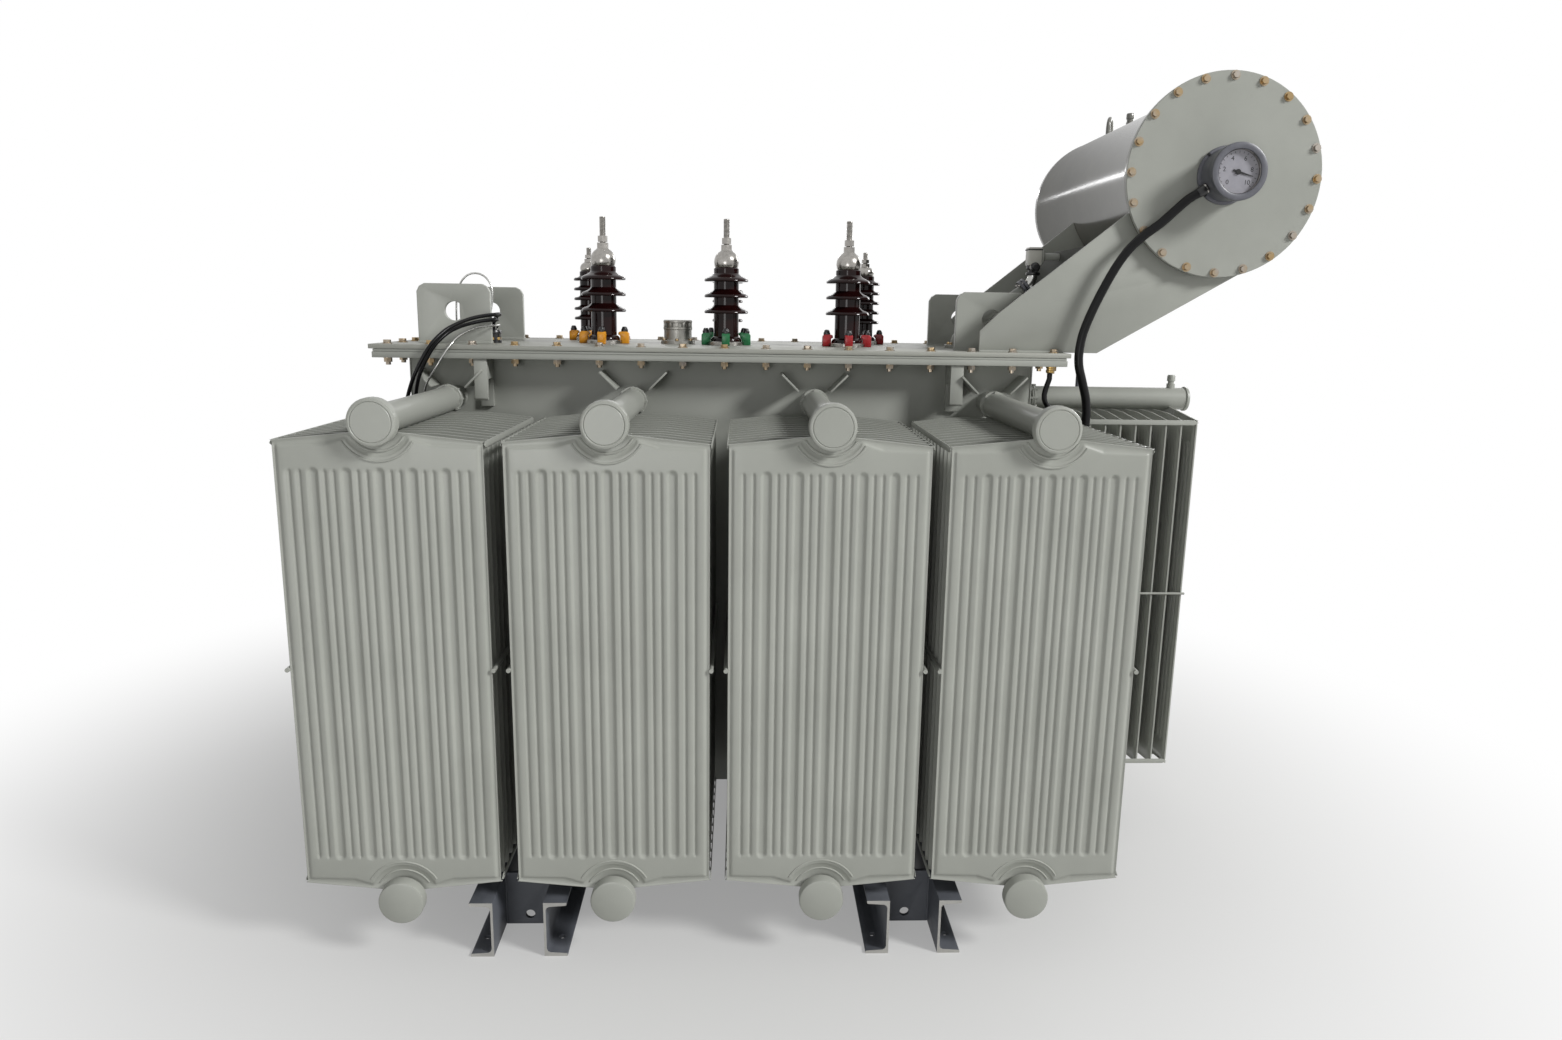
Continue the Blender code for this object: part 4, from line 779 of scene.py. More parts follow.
def groove_depth(x, z):
    """How deep the pressed grooves go at a place on the panel."""
    deepest = 0.0
    grooves = [(centre, WIDE_RADIUS, WIDE_DEPTH, WIDE_WALL, 0.0) for centre in WIDE_GROOVES]
    grooves += [(centre, NARROW_RADIUS, NARROW_DEPTH, NARROW_WALL, NARROW_SETBACK)
                for centre in both_sides(NARROW_GROOVES)]
    for centre, radius, depth, wall, setback in grooves:
        if abs(x - centre) > radius:
            continue
        top = GROOVE_TOP - setback - radius
        bottom = GROOVE_BOTTOM + setback + radius
        past = max(z - top, bottom - z, 0.0)
        away = math.hypot(x - centre, past)
        share = min(max((radius - away) / wall, 0.0), 1.0)
        share = share * share * (3 - 2 * share)
        floor = depth - FLOOR_CURVE * (away / radius) ** 2
        deepest = max(deepest, share * floor)
    return deepest


def row_is_inside(row, count):
    """Whether a row lies between the welded edges at a panel's two ends."""
    return EDGE_ROWS <= row < count - EDGE_ROWS


def pressed_panel(name, fine):
    """One panel: a grid pressed as the die would, then doubled to close it along the rim."""
    columns = panel_columns(fine)
    rows = panel_rows(fine, -1) + panel_rows(fine, 1)[::-1]
    deselect()
    bpy.ops.mesh.primitive_grid_add(
        x_subdivisions=len(columns) - 1, y_subdivisions=len(rows) - 1, size=1)
    piece = active()
    grid = piece.data.vertices
    order = sorted(range(len(grid)), key=lambda i: (round(grid[i].co.y, 5), grid[i].co.x))
    bead_line = PANEL_HALF - 1.1 * BEAD_WIDTH
    for at, index in enumerate(order):
        row, column = divmod(at, len(columns))
        x, side_height = columns[column]
        height_at, end_height = rows[row]
        z = height_at(x)
        height = min(side_height, end_height)
        if row_is_inside(row, len(rows)) and abs(x) > PANEL_HALF - 2 * BEAD_WIDTH:
            x -= math.copysign(EAR, x)
        if height > 0 and (abs(x) > bead_line or end_height == BEAD_HEIGHT):
            height = BEAD_HEIGHT
        if height == BODY_HEIGHT:
            height -= groove_depth(x, z)
        grid[index].co = (x, -height, z)
    piece = settled(name, ENAMEL)
    modified(piece, "MIRROR", use_axis=(False, True, False), merge_threshold=MERGE)
    return smooth(piece, PANEL_SMOOTH_ANGLE)


def header_profile(first, panels, cap_radius, cap_length, cap_reach, ringed):
    """From the wall outwards: stub, bolted collar in two halves, pipe and cap."""
    end = first + (panels - 1) * PANEL_PITCH + cap_reach
    ring = first - COLLAR_SETBACK
    near, far = ring - COLLAR_HALF, ring + COLLAR_HALF
    profile = [
        (0, COLLAR_EDGE), (STUB_RADIUS, COLLAR_EDGE), (STUB_RADIUS, near),
        (COLLAR_RADIUS - COLLAR_EDGE, near), (COLLAR_RADIUS, near + COLLAR_EDGE),
        (COLLAR_RADIUS, ring - COLLAR_EDGE), (COLLAR_RADIUS - COLLAR_GROOVE, ring),
        (COLLAR_RADIUS, ring + COLLAR_EDGE), (COLLAR_RADIUS, far - COLLAR_EDGE),
        (COLLAR_RADIUS - COLLAR_EDGE, far), (PIPE_RADIUS, far),
    ]
    start = end - cap_length
    rounding = min(CAP_ROUNDING, cap_length / 3)
    profile += [
        (PIPE_RADIUS, start), (cap_radius - rounding / 2, start),
        (cap_radius, start + rounding / 2), (cap_radius, end - rounding),
        (cap_radius - 0.3 * rounding, end - 0.3 * rounding), (cap_radius - rounding, end),
    ]
    if ringed:
        profile += [
            (CAP_RING_RADIUS + CAP_RING_HALF, end), (CAP_RING_RADIUS, end - CAP_RING_DEPTH),
            (CAP_RING_RADIUS - CAP_RING_HALF, end),
        ]
    return [*profile, (0, end)]


def make_radiator(first, panels, cap_radius, cap_length, cap_reach, ringed):
    """A radiator whose headers leave a wall at y = 0 along -Y."""
    outer_y = -(first + (panels - 1) * PANEL_PITCH)
    outer = pressed_panel("outer_panel", True)
    outer.data.transform(moved(0, outer_y, 0))
    inner = pressed_panel("inner_panel", False)
    places = [moved(0, -(first + i * PANEL_PITCH), 0) for i in range(panels - 1)]
    parts = [outer, repeated("inner_panels", inner, places)]
    for axis in (LOWER_AXIS, UPPER_AXIS):
        profile = header_profile(
            first, panels, cap_radius, cap_length, cap_reach, ringed and axis == UPPER_AXIS)
        parts.append(turned("header", profile, ENAMEL, along((0, 0, axis), (0, -1, 0))))
        parts += pressed_rings(outer_y, axis)
        ring = along((0, COLLAR_SETBACK - first, axis), (0, -1, 0))
        bolt = bar("bolt", (COLLAR_BOLT_CIRCLE, 0, -COLLAR_BOLT_HALF),
                   (COLLAR_BOLT_CIRCLE, 0, COLLAR_BOLT_HALF), COLLAR_BOLT_RADIUS, ENAMEL, HEXAGON)
        parts.append(repeated("collar_bolts", bolt, ring_places(ring, COLLAR_BOLTS)))
    parts += edge_strips(first, outer_y)
    return joined("radiator", parts), outer_y


def pressed_rings(face_y, axis):
    """Beads pressed into the outer panel as arcs round a header."""
    made = []
    sign = 1 if axis == LOWER_AXIS else -1
    bead = RING_BEADS[0] if axis == UPPER_AXIS else RING_BEADS[1]
    for radius in RING_RADII:
        depth = BODY_HEIGHT if radius > RECESS_RADIUS else RIM_HEIGHT
        points = []
        for i in range(RING_STEPS + 1):
            angle = RING_SPREAD * (2 * i / RING_STEPS - 1)
            points.append((radius * math.sin(angle), face_y - depth,
                           axis + sign * radius * math.cos(angle)))
        made.append(swept("pressed_ring", points, bead, ENAMEL))
    return made


def edge_strips(first, outer_y):
    """Flat strips along the panels' four corners, pointed at both ends."""
    near, far = STRIP_START - first, outer_y - STRIP_END
    made = []
    for low in (PANEL_TOP - STRIP_HEIGHT, PANEL_BOTTOM):
        high = low + STRIP_HEIGHT
        middle = low + STRIP_HEIGHT / 2
        outline = [(near, middle), (near - STRIP_NOSE, high), (far + STRIP_NOSE, high),
                   (far, middle), (far + STRIP_NOSE, low), (near - STRIP_NOSE, low)]
        for side in (-1, 1):
            edge = side * (PANEL_HALF + STRIP_THICKNESS / 2 - STRIP_BITE)
            lay = Matrix(((0, 0, 1, edge - STRIP_THICKNESS / 2), (1, 0, 0, 0), (0, 1, 0, 0),
                          (0, 0, 0, 1)))
            made.append(plate("edge_strip", outline, STRIP_THICKNESS, ENAMEL, lay, STRIP_EDGE))
    return made


def tie_rods(x, height, radius, first, outer_y):
    """The two rods that hold the panels together halfway up their sides."""
    return [bar("tie_rod", (side * x, STUD_START - first, height),
                (side * x, outer_y - STUD_END, height), radius, ENAMEL) for side in (-1, 1)]


def make_side_radiators():
    pattern, outer_y = make_radiator(
        SIDE_FIRST_PANEL, SIDE_PANELS, CAP_RADIUS, CAP_LENGTH, CAP_REACH, True)
    rods = tie_rods(STUD_X, STUD_HEIGHT, STUD_RADIUS, SIDE_FIRST_PANEL, outer_y)
    pattern = joined("radiator", [pattern, *rods])
    for i in range(SIDE_RADIATORS):
        x = (i - (SIDE_RADIATORS - 1) / 2) * RADIATOR_PITCH
        for end, way in ENDS:
            place = on_tank(x, way * TANK_HALF_DEPTH, 0)
            if way > 0:
                place = place @ HALF_TURN
            made = copied(pattern, place, f"pressed_radiator_{end}_{i + 1}")
            fixed(made, f"radiator_{end}_{i + 1}")
    bpy.data.objects.remove(pattern)


def make_end_radiator():
    pattern, outer_y = make_radiator(
        END_FIRST_PANEL, END_PANELS, END_CAP_RADIUS, END_CAP_LENGTH, END_CAP_REACH, False)
    rods = tie_rods(PANEL_HALF - 0.001, END_STUD_HEIGHT, END_STUD_RADIUS, END_FIRST_PANEL, outer_y)
    plug_y = outer_y - END_CAP_REACH + END_CAP_LENGTH + VENT_PLUG_SETBACK
    plug = turned("vent_plug", VENT_PLUG_PROFILE, ENAMEL, moved(0, plug_y, UPPER_AXIS),
                  SMALL_SIDES)
    made = joined("pressed_radiator_end", [pattern, *rods, plug])
    turn = on_tank(TANK_HALF_LENGTH, END_RADIATOR_Y, 0) @ Matrix.Rotation(math.pi / 2, 4, "Z")
    made.data.transform(turn)
    fixed(made, "radiator_end")


make_side_radiators()
make_end_radiator()


# Bushings: radii and heights over the seat, in metres

HV_PLACES = ((-0.410, -0.090), (0.0, -0.090), (0.410, -0.090))
LV_PLACES = ((-0.503, 0.230), (0.0, 0.230), (0.503, 0.230))
HV_SIZES = {
    "core": 0.042, "reach": 0.074, "first": 0.105, "pitch": 0.052, "count": 3, "neck": 0.252,
    "cap": 0.0415, "cap_top": 0.310, "nut": 0.018, "nut_top": 0.350, "rod": 0.0105,
    "top": 0.412, "clamp_height": 0.040,
}
LV_SIZES = {
    "core": 0.034, "reach": 0.056, "first": 0.074, "pitch": 0.0345, "count": 5, "neck": 0.2440,
    "cap": 0.032, "cap_top": 0.2785, "nut": 0.015, "nut_top": 0.3035, "rod": 0.009,
    "top": 0.329, "clamp_height": 0.036,
}
SHED_RISE_SHARE = 0.52
# Shares of the cap's radius and of its height, up its round side
CAP_SHARES = ((0.86, 0.0), (0.95, 0.10), (1.0, 0.33), (0.97, 0.52), (0.88, 0.70), (0.72, 0.85),
              (0.54, 0.95))
THREAD_PITCH = 0.004
THREAD_DEPTH = 0.001
# A clamp's outline from the foot's edge outwards, drawn 40 mm high
CLAMP_BORE = 0.011
CLAMP_HALF = 0.0130
CLAMP_DRAWN_HEIGHT = 0.040
CLAMP_OUTLINE = (
    (0.001, 0.0), (0.001, 0.026), (-0.006, 0.030), (-0.004, 0.038), (0.002, 0.040),
    (0.024, 0.040), (0.030, 0.034), (0.030, 0.0),
)
CLAMP_NUT_OUT = 0.015
CLAMP_NUT_PROFILE = (
    (0, -0.001), (0.0115, -0.001), (0.0115, 0.006), (0.0095, 0.009), (0.0090, 0.012),
    (0.0065, 0.0155), (0, 0.0165),
)
FOOT_RING_PROFILE = (
    (0.0105, 0.0), (0.0205, 0.0), (0.0205, 0.010), (0.0185, 0.012), (0.0105, 0.012),
    (0.0105, 0.0),
)


def shed(core, reach, tip, pitch):
    """Flat underside, rounded tip and cone-like upper side of one shed."""
    span = reach - core
    rise = SHED_RISE_SHARE * pitch
    return [
        (core, tip - 0.001), (reach - 0.006, tip - 0.001), (reach - 0.0018, tip - 0.0002),
        (reach, tip + 0.0030), (reach - 0.0010, tip + 0.0068), (reach - 0.0042, tip + 0.0100),
        (core + 0.62 * span, tip + 0.52 * rise), (core + 0.36 * span, tip + 0.66 * rise),
        (core + 0.14 * span, tip + 0.82 * rise), (core, tip + rise),
    ]


def porcelain_profile(core, reach, first, pitch, count, top):
    """A foot, a row of sheds on the core, and a flat top."""
    profile = [
        (0, 0.0), (core + 0.008, 0.0), (core + 0.010, 0.003), (core + 0.010, 0.018),
        (core + 0.007, 0.023), (core, 0.028),
    ]
    for i in range(count):
        profile += shed(core, reach, first + i * pitch, pitch)
    profile += [(core, top - 0.001), (core - 0.003, top + 0.002), (0, top + 0.002)]
    return profile


def cap_profile(radius, bottom, top, neck):
    side = [(radius * out, bottom + up * (top - bottom)) for out, up in CAP_SHARES]
    return [(0, bottom), *side, (neck + 0.002, top), (0, top)]


def make_clamp_set(name, core, height, surface):
    """Four hooks that hold a bushing's foot, each on a stud with a nut."""
    bore = core + CLAMP_BORE
    outline = [(bore + x, z * height / CLAMP_DRAWN_HEIGHT) for x, z in CLAMP_OUTLINE]
    hook = plate("hook", outline, 2 * CLAMP_HALF, surface, moved(0, CLAMP_HALF, 0) @ UPRIGHT,
                 0.002)
    nut = turned("nut", CLAMP_NUT_PROFILE, BLACK_PHENOLIC, moved(bore + CLAMP_NUT_OUT, 0, height),
                 WASHER_SIDES)
    return repeated(name, joined("hook", [hook, nut]), ring_places(Matrix.Identity(4), 4))


def make_bushing(node, x, y, surface, core, reach, first, pitch, count, neck, cap, cap_top, nut,
                 nut_top, rod, top, clamp_height):
    place = on_tank(x, y, SEAT)
    foot = place.translation
    parts = [
        turned("porcelain", porcelain_profile(core, reach, first, pitch, count, neck),
               PORCELAIN, place, MEDIUM_SIDES),
        turned("cap", cap_profile(cap, neck, cap_top, nut), BRIGHT_ZINC, place),
    ]
    middle = (cap_top + nut_top) / 2
    for low, high, radius in ((cap_top, middle - 0.002, nut * 1.12),
                              (middle + 0.001, nut_top, nut * 0.96)):
        parts.append(bar("nut", foot + low * UP, foot + high * UP, radius, BRIGHT_ZINC, HEXAGON))
    thread = [(0, cap_top)]
    turns = round((top - cap_top) / THREAD_PITCH)
    for i in range(turns):
        base = cap_top + (top - cap_top) * i / turns
        thread += [(rod, base + 0.0006), (rod - THREAD_DEPTH, base + 0.0026)]
    thread += [(rod - THREAD_DEPTH, top - 0.001), (rod - 0.003, top), (0, top)]
    parts.append(turned("rod", thread, BRIGHT_ZINC, place, SMALL_SIDES))
    fixed(joined(node + "_porcelain", parts), node)
    clamps = make_clamp_set(node + "_hooks", core, clamp_height, surface)
    clamps.data.transform(place)
    ring = turned("foot_ring", [(core + out, up) for out, up in FOOT_RING_PROFILE], BRIGHT_ZINC,
                  place)
    fixed(joined(node + "_hooks", [clamps, ring]), node + "_clamp")


for i, phase in enumerate((YELLOW_ENAMEL, GREEN_ENAMEL, RED_ENAMEL)):
    make_bushing(f"hv_bushing_{i + 1}", *HV_PLACES[i], phase, **HV_SIZES)
    make_bushing(f"lv_bushing_{i + 1}", *LV_PLACES[i], phase, **LV_SIZES)


# Shaping helpers for the steelwork

WASHER = 0.0025
# How deep a head sinks into its washer, so that no gap shows
LAP = 0.0001
HEAD_EDGE = 0.0008
# Turn from one head to the next, in radians, so that no two in a row lie the same
BOLT_SPIN = 0.7


def drilled(piece, start, end, radius, sides=ROUND_SIDES):
    """Cuts a round hole through a piece from point to point."""
    cutter = bar("cutter", start, end, radius, ENAMEL, sides)
    modified(piece, "BOOLEAN", operation="DIFFERENCE", object=cutter, solver="EXACT")
    bpy.data.objects.remove(cutter)


def tube(name, points, radius, surface, bend=0.03):
    """A bent tube: straight runs with a rounded bend at each corner."""
    places = [Vector(points[0])]
    for before, corner, after in zip(points, points[1:], points[2:]):
        before, corner, after = Vector(before), Vector(corner), Vector(after)
        start = corner + (before - corner).normalized() * min(bend, (before - corner).length / 2)
        end = corner + (after - corner).normalized() * min(bend, (after - corner).length / 2)
        for i in range(BEND_STEPS + 1):
            t = i / BEND_STEPS
            places.append(start * (1 - t) ** 2 + corner * 2 * t * (1 - t) + end * t ** 2)
    places.append(Vector(points[-1]))
    return swept(name, places, radius, surface, 6)


def hexagon_bolt(name, radius, head, surface, washer_share=1.2):
    """A hexagon head on a flat washer, standing on z = 0."""
    disc = bar("washer", (0, 0, 0), (0, 0, WASHER), radius * washer_share, surface, WASHER_SIDES)
    top = bar("head", (0, 0, WASHER - LAP), (0, 0, WASHER - LAP + head), radius, surface,
              HEXAGON)
    bevelled(top, HEAD_EDGE, 1)
    return joined(name, [disc, top])


# Skid of four channels and their cross plates

RAIL_HALF = 1.095
RAIL_PAIR_HALF = 0.068
RAIL_CENTRE = 0.540
RAIL_OUTLINE = (
    (0.0, 0.0), (0.063, 0.0), (0.063, 0.0065), (0.060, 0.0085), (0.016, 0.0115),
    (0.0095, 0.0150), (0.0065, 0.0220), (0.0065, 0.1380), (0.0095, 0.1450), (0.016, 0.1485),
    (0.060, 0.1515), (0.063, 0.1535), (0.063, 0.1600), (0.0, 0.1600),
)
RAIL_HOLE_X = 0.036
RAIL_HOLE_SETBACK = 0.075
RAIL_HOLE_RADIUS = 0.009
RAIL_HOLE_END = 0.020
RAIL_HEIGHT = 0.160
TIE_Y = 0.935
TIE_HALF = 0.006
TIE_HOLE_HEIGHT = 0.030
TIE_HOLE_RADIUS = 0.0135
TIE_WELD_RADIUS = 0.0035
TIE_WELD_INSET = 0.0012
TIE_WELD_OUT = 0.0065
TIE_WELD_END = 0.004
SAW_CUT = 0.0006
FIT_GAP = 0.0003


def make_rail(node, web_x, way):
    rail = plate("rail", RAIL_OUTLINE, 2 * RAIL_HALF, SKID_ENAMEL,
                 moved(0, RAIL_HALF, 0) @ UPRIGHT, 0.0012)
    cuts = []
    for end in (-1, 1):
        y = end * (RAIL_HALF - RAIL_HOLE_SETBACK)
        drilled(rail, (RAIL_HOLE_X, y, -OVERRUN), (RAIL_HOLE_X, y, RAIL_HOLE_END), RAIL_HOLE_RADIUS,
                SMALL_SIDES)
        cuts.append(plate("saw_cut", RAIL_OUTLINE, SAW_CUT, SAWN_STEEL,
                          moved(0, end * RAIL_HALF + SAW_CUT / 2, 0) @ UPRIGHT, 0))
    rail = joined(node + "_channel", [rail, *cuts])
    if way < 0:
        rail.data.transform(HALF_TURN)
    rail.data.transform(on_tank(web_x, 0, 0))
    fixed(smooth(rail), node)


def make_cross_plate(side, end, x, y):
    """A plate between the two channels of a pair, drilled, with a weld along each corner."""
    reach = RAIL_PAIR_HALF - FIT_GAP
    name = f"cross_plate_{side}_{end}"
    made = block(name, (x - reach, y - TIE_HALF, 0.0), (x + reach, y + TIE_HALF, RAIL_HEIGHT),
                 SKID_ENAMEL, 0)
    past = TIE_HALF + OVERRUN
    drilled(made, (x, y - past, TIE_HOLE_HEIGHT), (x, y + past, TIE_HOLE_HEIGHT), TIE_HOLE_RADIUS)
    bevelled(made, 0.001)
    welds = []
    for edge in (-1, 1):
        for face in (-1, 1):
            corner = RAIL_PAIR_HALF - TIE_WELD_INSET
            spot = Vector((x + edge * corner, y + face * TIE_WELD_OUT, 0))
            welds.append(bar("weld", spot + TIE_WELD_END * UP,
                             spot + (RAIL_HEIGHT - TIE_WELD_END) * UP,
                             TIE_WELD_RADIUS, SKID_ENAMEL, WELD_SIDES))
    fixed(smooth(joined(name, [made, *welds])), f"rail_tie_{side}_{end}")


for side, sign in SIDES:
    centre = sign * RAIL_CENTRE
    make_rail(f"rail_{side}_outer", centre + sign * RAIL_PAIR_HALF, sign)
    make_rail(f"rail_{side}_inner", centre - sign * RAIL_PAIR_HALF, -sign)
    for end, way in ENDS:
        make_cross_plate(side, end, centre + TANK_X, way * TIE_Y)


# Tank with its ribs and hooks, and the bolted cover

HOOK_OUTLINE = (
    (0.0, 0.0), (0.088, 0.0), (0.088, -0.120), (0.084, -0.126), (0.076, -0.126),
    (0.072, -0.122), (0.072, -0.068), (0.068, -0.062), (0.014, -0.062), (0.014, -0.150),
    (0.0, -0.150),
)
HOOK_PLACES = (-0.743, 0.723)
HOOK_HALF = 0.020
RIB_HALF_DEPTH = 0.050
RIB_HALF_LENGTH = 0.0368
RIB_HALF_THICKNESS = 0.003
RIB_INNER = (0.050, 0.035)
RIB_MIDDLE = 0.026
BOLT_COLUMNS = 17
BOLT_PITCH = 0.129
BOLT_ROWS = 7
BOLT_INSET = 0.0475
BOLT_RADIUS = 0.0120
BOLT_HEAD = 0.0095
NUT_RADIUS = 0.0125
NUT_DEPTH = 0.0150
BOLT_END_DEPTH = 0.0235
BOLT_END_RADIUS = 0.0075
WASHER_SHARE = 1.3
SEAM_RADIUS = 0.0045
CORNER_SEAM_RADIUS = 0.0027
FLANGE_INSET = 0.010
SEAL_INSETS = (0.0125, 0.0025)
SEAL_LEVELS = (1.6011, 1.6087)
CLIP_PLACE = (1.024, -0.400)
CLIP_PROFILE = (
    (0, 0.0), (0.0130, 0.0), (0.0130, -0.006), (0.0110, -0.007), (0.0110, -0.012),
    (0.0130, -0.013), (0.0125, -0.020), (0.0100, -0.022), (0, -0.022),
)
LOOP_GLAND_PLACE = (-0.879, -0.170)
LOOP_GLAND_PROFILE = (
    (0, 0.0), (0.0100, 0.0), (0.0100, 0.010), (0.0080, 0.011), (0.0080, 0.018),
    (0.0095, 0.019), (0.0095, 0.027), (0.0060, 0.030), (0, 0.030),
)


def header_ribs(x, way):
    """The two slanting ribs over an upper header, on the front or the back wall."""
    made = []
    for side in (-1, 1):
        inner = Vector((x + side * RIB_INNER[0], 0, UPPER_AXIS + RIB_INNER[1]))
        centre = inner + Vector((side * RIB_MIDDLE, way * (TANK_HALF_DEPTH + RIB_HALF_DEPTH),
                                 RIB_MIDDLE))
        half = Vector((RIB_HALF_LENGTH, RIB_HALF_DEPTH, RIB_HALF_THICKNESS))
        rib = block("rib", -half, half, ENAMEL, 0.001)
        lean = Matrix.Rotation(-side * math.pi / 4, 4, "Y")
        rib.data.transform(Matrix.Translation(centre) @ lean)
        made.append(rib)
    return made


def make_tank():
    low = Vector((TANK_X - TANK_HALF_LENGTH, -TANK_HALF_DEPTH, TANK_BOTTOM))
    high = Vector((TANK_X + TANK_HALF_LENGTH, TANK_HALF_DEPTH, TANK_TOP))
    parts = [block("tank", low, high, ENAMEL, 0.004)]
    turn = Matrix.Rotation(-math.pi / 2, 4, "Z") @ UPRIGHT
    hook = plate("hook", HOOK_OUTLINE, 2 * HOOK_HALF, ENAMEL, turn @ moved(0, 0, -HOOK_HALF))
    places = []
    for x in HOOK_PLACES:
        places.append(on_tank(x, -TANK_HALF_DEPTH, TANK_TOP))
        places.append(on_tank(x, TANK_HALF_DEPTH, TANK_TOP) @ HALF_TURN)
    parts.append(repeated("hooks", hook, places))
    for way in (-1, 1):
        for i in range(SIDE_RADIATORS):
            parts += header_ribs((i - (SIDE_RADIATORS - 1) / 2) * RADIATOR_PITCH + TANK_X, way)
    seam_z = TANK_TOP - 0.001
    for way in (-1, 1):
        y = way * TANK_HALF_DEPTH
        for x in (low.x, high.x):
            parts.append(bar("corner_weld", (x, y, TANK_BOTTOM + 0.006), (x, y, seam_z),
                             CORNER_SEAM_RADIUS, ENAMEL, WELD_SIDES))
        parts.append(bar("flange_weld", (low.x, y, seam_z), (high.x, y, seam_z), SEAM_RADIUS,
                         ENAMEL, WELD_SIDES))
    fixed(joined("welded_tank", parts), "tank_body")


def slab(name, ends, sides, low, high, surface, edge=EDGE):
    """A plate as wide as the cover, less an inset at its ends and one at its sides."""
    return block(name, (TANK_X - FLANGE_HALF_LENGTH + ends, -FLANGE_HALF_DEPTH + sides, low),
                 (TANK_X + FLANGE_HALF_LENGTH - ends, FLANGE_HALF_DEPTH - sides, high),
                 surface, edge)


def bolt_places():
    """Where the cover's bolts stand, round its edge."""
    y = FLANGE_HALF_DEPTH - BOLT_INSET
    places = []
    for i in range(BOLT_COLUMNS):
        x = (i - (BOLT_COLUMNS - 1) / 2) * BOLT_PITCH
        places += [(x, -y), (x, y)]
    x = FLANGE_HALF_LENGTH - BOLT_INSET
    for i in range(1, BOLT_ROWS - 1):
        row = (2 * i / (BOLT_ROWS - 1) - 1) * y
        places += [(-x, row), (x, row)]
    return places


def make_cover():
    places = bolt_places()
    clip = turned("clip", CLIP_PROFILE, BRASS, on_tank(*CLIP_PLACE, FLANGE_BOTTOM), SMALL_SIDES)
    nut = bar("nut", -NUT_DEPTH * UP, -0.0022 * UP, NUT_RADIUS, YELLOW_ZINC, HEXAGON)
    washer = bar("washer", -0.0024 * UP, 0 * UP, WASHER_SHARE * BOLT_RADIUS, YELLOW_ZINC,
                 WASHER_SIDES)
    end = bar("end", -BOLT_END_DEPTH * UP, -0.0145 * UP, BOLT_END_RADIUS, YELLOW_ZINC, 10)
    nuts = repeated("flange_nuts", joined("nut", [nut, washer, end]),
                    [on_tank(x, y, FLANGE_BOTTOM) for x, y in places])
    flange = slab("flange", FLANGE_INSET, 0, FLANGE_BOTTOM, FLANGE_TOP, ENAMEL)
    fixed(joined("bolted_flange", [flange, clip, nuts]), "tank_flange")
    fixed(slab("seal", *SEAL_INSETS, *SEAL_LEVELS, ENAMEL, 0.001), "cover_gasket")
    bolt = hexagon_bolt("bolt", BOLT_RADIUS, BOLT_HEAD, YELLOW_ZINC, WASHER_SHARE)
    spun = []
    for i, (x, y) in enumerate(places):
        spun.append(on_tank(x, y, COVER_TOP) @ Matrix.Rotation(i * BOLT_SPIN, 4, "Z"))
    bolts = repeated("cover_bolts", bolt, spun)
    gland = turned("loop_gland", LOOP_GLAND_PROFILE, BRASS, on_tank(*LOOP_GLAND_PLACE, COVER_TOP),
                   SMALL_SIDES)
    # The cover's enamel is a touch darker than the tank's, as painted shade against the light on
    # its top
    cover = slab("cover", 0, 0, COVER_BOTTOM, COVER_TOP, DUST_AND_SHADE_ENAMEL)
    fixed(joined("bolted_cover", [cover, bolts, gland]), "cover_plate")


make_tank()
make_cover()


# Lifting lugs

LUG_HALF = 0.115
LUG_HEIGHT = 0.185
LUG_HALF_THICKNESS = 0.010
LUG_CHAMFER = 0.025
LUG_CHAMFER_SHARE = 0.35
LUG_HOLE_HEIGHT = 0.100
LUG_HOLE_RADIUS = 0.030
LUG_X = 0.860
LUG_PLACES = (("front", -0.260), ("back", 0.240))
LUG_WELD_RADIUS = 0.005


def make_lugs():
    cut = LUG_CHAMFER * LUG_CHAMFER_SHARE
    right = [(LUG_HALF, 0.0), (LUG_HALF, LUG_HEIGHT - LUG_CHAMFER),
             (LUG_HALF - cut, LUG_HEIGHT - cut), (LUG_HALF - LUG_CHAMFER, LUG_HEIGHT)]
    outline = right + [(-x, z) for x, z in reversed(right)]
    lug = plate("lug", outline, 2 * LUG_HALF_THICKNESS, ENAMEL,
                moved(0, LUG_HALF_THICKNESS, 0) @ UPRIGHT, 0)
    past = LUG_HALF_THICKNESS + OVERRUN
    drilled(lug, (0, -past, LUG_HOLE_HEIGHT), (0, past, LUG_HOLE_HEIGHT), LUG_HOLE_RADIUS,
            MEDIUM_SIDES)
    bevelled(lug, 0.0022)
    weld_y = LUG_HALF_THICKNESS + EDGE
    welds = [bar("weld", (-LUG_HALF, y, 0.001), (LUG_HALF, y, 0.001), LUG_WELD_RADIUS, ENAMEL, 10)
             for y in (-weld_y, weld_y)]
    lug = joined("lug", [smooth(lug), *welds])
    for side, sign in SIDES:
        for end, y in LUG_PLACES:
            made = copied(lug, on_tank(sign * LUG_X, y, SEAT), f"welded_lug_{side}_{end}")
            fixed(made, f"lifting_lug_{side}_{end}")
    bpy.data.objects.remove(lug)


make_lugs()


# Relief valve on the cover

